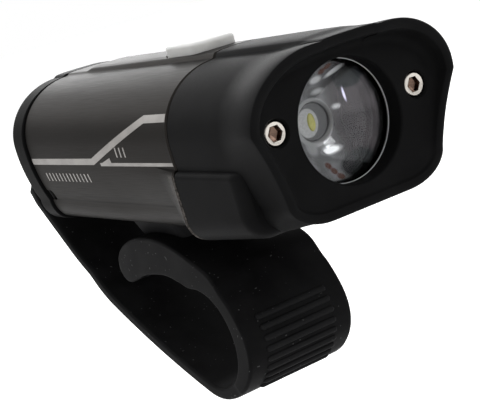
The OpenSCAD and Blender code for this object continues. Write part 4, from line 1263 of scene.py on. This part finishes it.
class HEADLIGHT_OT_stripe(bpy.types.Operator):
    """Lay the printed lines on the shell's near side"""

    bl_idname = "headlight.stripe"
    bl_label = "Printed stripe"

    lift, thick, tick_w, tick_pitch = 0.015, 0.03, 0.5, 1.8
    # Corners of the main line, the thin line and the pointed mark: distance behind the face, height
    main_path = ((96.4, -1.7), (65, -1.6), (39.4, 6.85), (30.9, 6.9))
    thin_path = ((61.6, -2.2), (30.9, -2.1))
    mark_path = ((61.4, -2.1), (56.4, -1.45))
    # Rows of ticks: the first one's distance behind the face, its ends' heights, and their number
    long_row = (91.6, -6.5, -4.5, 13)
    short_row = (52.8, -0.6, 1.5, 3)

    def side_x(self, z):
        """Half width of the shell at a height above the lens axis."""
        if z > WIDE_Z:
            share = (z - WIDE_Z) / (SPINE_TOP - SPINE_STEP - WIDE_Z)
            return SHOULDER_X + (BODY_W - SHOULDER_X) * math.sqrt(1 - share**2)
        return BODY_W - SIDE_R + math.sqrt(SIDE_R**2 - (z - WIDE_Z) ** 2)

    def line(self, name, points, widths):
        """A flat ribbon along a path of (distance behind the face, height) points, laid on the shell."""
        edges = []
        for i, (point, width) in enumerate(zip(points, widths)):
            before = Vector(points[i]) - Vector(points[max(i - 1, 0)])
            after = Vector(points[min(i + 1, len(points) - 1)]) - Vector(points[i])
            normals = [Vector((-d.y, d.x)).normalized() for d in (before, after) if d.length > 1e-6]
            normal = sum(normals, Vector((0, 0))).normalized()
            reach = width / 2 / max(normal.dot(normals[0]), 0.3)
            edges.append((Vector(point) + normal * reach, Vector(point) - normal * reach))
        rings = []
        for (a0, b0), (a1, b1) in zip(edges, edges[1:]):
            steps = max(2, int((a1 - a0).length / 1.5))
            rings += [(a0.lerp(a1, k / steps), b0.lerp(b1, k / steps)) for k in range(steps)]
        rings.append(edges[-1])
        sections = []
        for a, b in rings:
            top = [a.lerp(b, k / 4) for k in range(5)]
            out = [lamp_point(-self.side_x(p.y) - self.lift - self.thick, p.x, p.y) for p in top]
            under = [lamp_point(-self.side_x(p.y) + self.thick, p.x, p.y) for p in reversed(top)]
            sections.append(out + under)
        return loft(name, sections)

    def ticks(self, name, start, low, high, count):
        """A row of plain upright ticks that runs forward."""
        first = self.line(name, ((start, low), (start, high)), (self.tick_w, self.tick_w))
        row = [copy_of(first, "tick", (0, -self.tick_pitch * k, 0)) for k in range(1, count)]
        take(first)
        for tick in row:
            tick.select_set(True)
        bpy.ops.object.join()
        return first

    def execute(self, context):
        paint = plain_finish("stripe_paint", colours().stripe, 0.45, grain_size=0.2)
        w = sizes().stripe
        main = self.line("stripe_main", self.main_path, (w, w, w, w))
        thin = self.line("stripe_thin", self.thin_path, (w * 0.5, w * 0.5))
        mark = self.line("stripe_mark", self.mark_path, (0.06, 1.5))
        scale = self.ticks("stripe_scale", *self.long_row)
        angle = self.ticks("stripe_angle", *self.short_row)
        for line in (main, thin, mark, scale, angle):
            place_piece(smooth(line, 20), paint, "lamp", "shell_metal")
        return {"FINISHED"}


class HEADLIGHT_OT_inner_parts(bpy.types.Operator):
    """Give the CAD nodes that keep their shape a finish of their own"""

    bl_idname = "headlight.inner_parts"
    bl_label = "Inner parts"

    def execute(self, context):
        seal = plain_finish("seal_rubber_black", (0.012, 0.012, 0.012), 0.6)
        machined = bright_metal("sink_machined", (0.7, 0.7, 0.71), 0.32, 0.15, (1, 1, 12))
        finishes = {
            "front_gasket": seal,
            "rear_gasket": seal,
            "lens_seal": seal,
            "led_board": plain_finish("emitter_board_white", (0.45, 0.45, 0.44), 0.45),
            "heat_sink": machined,
            "battery_cell": plain_finish("cell_sleeve", (0.05, 0.14, 0.38), 0.3),
            "battery_tray": plain_finish("tray_moulding", (0.03, 0.03, 0.034), 0.5),
            "circuit_board": plain_finish("board_mask", (0.02, 0.13, 0.05), 0.35, grain_size=0.6),
            "tact_switch": plain_finish("switch_moulding", (0.02, 0.02, 0.02), 0.45),
            "usb_socket": bright_metal("socket_tin", (0.72, 0.72, 0.74), 0.28),
            "foot_screws": bright_metal("foot_screw_steel", (0.62, 0.61, 0.6), 0.3),
        }
        for name, look in finishes.items():
            nodes[name].data.materials.clear()
            nodes[name].data.materials.append(look)
        return {"FINISHED"}


class HEADLIGHT_OT_stage(bpy.types.Operator):
    """Set the camera, the pale floor and the studio light"""

    bl_idname = "headlight.stage"
    bl_label = "Stage"

    # Camera place from the handlebar's axis, with the axes of its view
    eye = (-138.6, -237.6, 78.7)
    right = (0.80684, -0.53686, -0.24656)
    up = (0.31293, 0.0344, 0.94915)
    back = (-0.50108, -0.84297, 0.19576)
    # Room above the floor for the strap's tail when it hangs open
    strap_room, floor_glow = 52.0, 0.45
    # Softboxes in metres: name, place, width and height, and share of the key light's power
    aim = (0, 0, 0.03)
    softboxes = (
        ("softbox_top", (-0.1, 0.2, 0.78), (0.8, 0.6), 1.0),
        ("softbox_back", (-0.15, 0.75, 0.45), (0.9, 0.35), 0.65),
        ("softbox_low", (0.45, 0.76, 0.25), (0.6, 0.3), 0.6),
        ("softbox_left", (-0.75, -0.25, 0.3), (0.35, 0.5), 0.15),
        ("softbox_front", (0.3, -0.8, 0.45), (0.35, 0.3), 0.5),
    )

    def camera(self, settings):
        deselect()
        bpy.ops.object.camera_add()
        camera = bpy.context.object
        camera.name = "photo_camera"
        turn = Matrix((self.right, self.up, self.back)).transposed().to_4x4()
        camera.matrix_world = Matrix.Translation(Vector(self.eye) * MM) @ turn
        camera.data.lens = settings.focal
        camera.data.sensor_width = 36.0
        camera.data.clip_start, camera.data.clip_end = 0.01, 20
        bpy.context.scene.camera = camera

    def floor(self, settings):
        deselect()
        height = cad_box[0].z - self.strap_room * MM
        bpy.ops.mesh.primitive_plane_add(size=6, location=(0, 0, height))
        floor = named("studio_floor")
        look = Look("floor_paint", Roughness=0.9)
        look.colour(settings.floor)
        glow = look.add("ShaderNodeMath", operation="MULTIPLY")
        look.feed(glow.inputs[0], self.background_rays(look.tree))
        glow.inputs[1].default_value = self.floor_glow
        look.shader.inputs["Emission Color"].default_value = (1, 1, 1, 1)
        look.feed(look.shader.inputs["Emission Strength"], glow.outputs[0])
        floor.data.materials.append(look.material)

    def background_rays(self, tree):
        """1 for rays that show the background: the camera's, and those off metal and through glass."""
        path = tree.nodes.new("ShaderNodeLightPath")
        seen = path.outputs["Is Camera Ray"]
        for kind in ("Is Glossy Ray", "Is Transmission Ray"):
            either = tree.nodes.new("ShaderNodeMath")
            either.operation = "MAXIMUM"
            tree.links.new(seen, either.inputs[0])
            tree.links.new(path.outputs[kind], either.inputs[1])
            seen = either.outputs[0]
        return seen

    def lamp(self, name, place, size, power):
        """A softbox turned towards the middle of the object."""
        deselect()
        bpy.ops.object.light_add(type="AREA", location=place)
        light = bpy.context.object
        light.name = name
        light.data.shape = "RECTANGLE"
        light.data.size, light.data.size_y = size
        light.data.energy = power
        towards = Vector(self.aim) - Vector(place)
        light.rotation_euler = towards.to_track_quat("-Z", "Y").to_euler()

    def world(self):
        scene = bpy.context.scene
        scene.world = scene.world or bpy.data.worlds.new("studio")
        scene.world.use_nodes = True
        tree = scene.world.node_tree
        tree.nodes.clear()
        out = tree.nodes.new("ShaderNodeOutputWorld")
        kinds = ("ShaderNodeBackground", "ShaderNodeBackground", "ShaderNodeMixShader")
        sky, white, both = (tree.nodes.new(k) for k in kinds)
        coords = tree.nodes.new("ShaderNodeTexCoord")
        split = tree.nodes.new("ShaderNodeSeparateXYZ")
        ramp = tree.nodes.new("ShaderNodeValToRGB")
        low, high = ramp.color_ramp.elements
        low.position, low.color = 0.45, (0.25, 0.25, 0.255, 1)
        high.position, high.color = 0.95, (0.8, 0.8, 0.8, 1)
        half = tree.nodes.new("ShaderNodeMapRange")
        half.inputs["From Min"].default_value = -1
        links = tree.links
        links.new(coords.outputs["Generated"], split.inputs[0])
        links.new(split.outputs["Z"], half.inputs["Value"])
        links.new(half.outputs["Result"], ramp.inputs["Fac"])
        links.new(ramp.outputs["Color"], sky.inputs["Color"])
        links.new(self.background_rays(tree), both.inputs["Fac"])
        links.new(sky.outputs[0], both.inputs[1])
        links.new(white.outputs[0], both.inputs[2])
        white.inputs["Color"].default_value = (1, 1, 1, 1)
        links.new(both.outputs[0], out.inputs["Surface"])

    def execute(self, context):
        settings = context.scene.headlight_stage
        context.scene.view_settings.view_transform = "Standard"
        self.camera(settings)
        self.floor(settings)
        self.world()
        for name, place, size, share in self.softboxes:
            self.lamp(name, place, size, settings.key * share)
        return {"FINISHED"}


class HEADLIGHT_PT_panel(bpy.types.Panel):
    """Sidebar list of the lamp's pieces"""

    bl_label = "Headlight"
    bl_idname = "HEADLIGHT_PT_panel"
    bl_space_type = "VIEW_3D"
    bl_region_type = "UI"
    bl_category = "Headlight"

    def draw(self, context):
        layout, scene = self.layout, context.scene
        for group in (scene.headlight_sizes, scene.headlight_colours, scene.headlight_stage):
            column = layout.column(align=True)
            for key in group.__annotations__:
                column.prop(group, key)
        for operator in OPERATORS:
            layout.operator(operator.bl_idname)


OPERATORS = (
    HEADLIGHT_OT_stage,
    HEADLIGHT_OT_shell,
    HEADLIGHT_OT_front_cap,
    HEADLIGHT_OT_rear_cap,
    HEADLIGHT_OT_screws,
    HEADLIGHT_OT_optics,
    HEADLIGHT_OT_button,
    HEADLIGHT_OT_foot,
    HEADLIGHT_OT_strap,
    HEADLIGHT_OT_port_plug,
    HEADLIGHT_OT_stripe,
    HEADLIGHT_OT_inner_parts,
)
GROUPS = (HeadlightSizes, HeadlightColours, HeadlightStage)


def register():
    for cls in GROUPS + OPERATORS + (HEADLIGHT_PT_panel,):
        bpy.utils.register_class(cls)
    bpy.types.Scene.headlight_sizes = PointerProperty(type=HeadlightSizes)
    bpy.types.Scene.headlight_colours = PointerProperty(type=HeadlightColours)
    bpy.types.Scene.headlight_stage = PointerProperty(type=HeadlightStage)


def unregister():
    del bpy.types.Scene.headlight_stage
    del bpy.types.Scene.headlight_colours
    del bpy.types.Scene.headlight_sizes
    for cls in reversed(GROUPS + OPERATORS + (HEADLIGHT_PT_panel,)):
        bpy.utils.unregister_class(cls)


def main():
    register()
    bpy.ops.headlight.stage()
    bpy.ops.headlight.shell()
    bpy.ops.headlight.front_cap()
    bpy.ops.headlight.rear_cap()
    bpy.ops.headlight.screws()
    bpy.ops.headlight.optics()
    bpy.ops.headlight.button()
    bpy.ops.headlight.foot()
    bpy.ops.headlight.strap()
    bpy.ops.headlight.port_plug()
    bpy.ops.headlight.stripe()
    bpy.ops.headlight.inner_parts()
    deselect()
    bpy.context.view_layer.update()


if __name__ == "__main__":
    main()
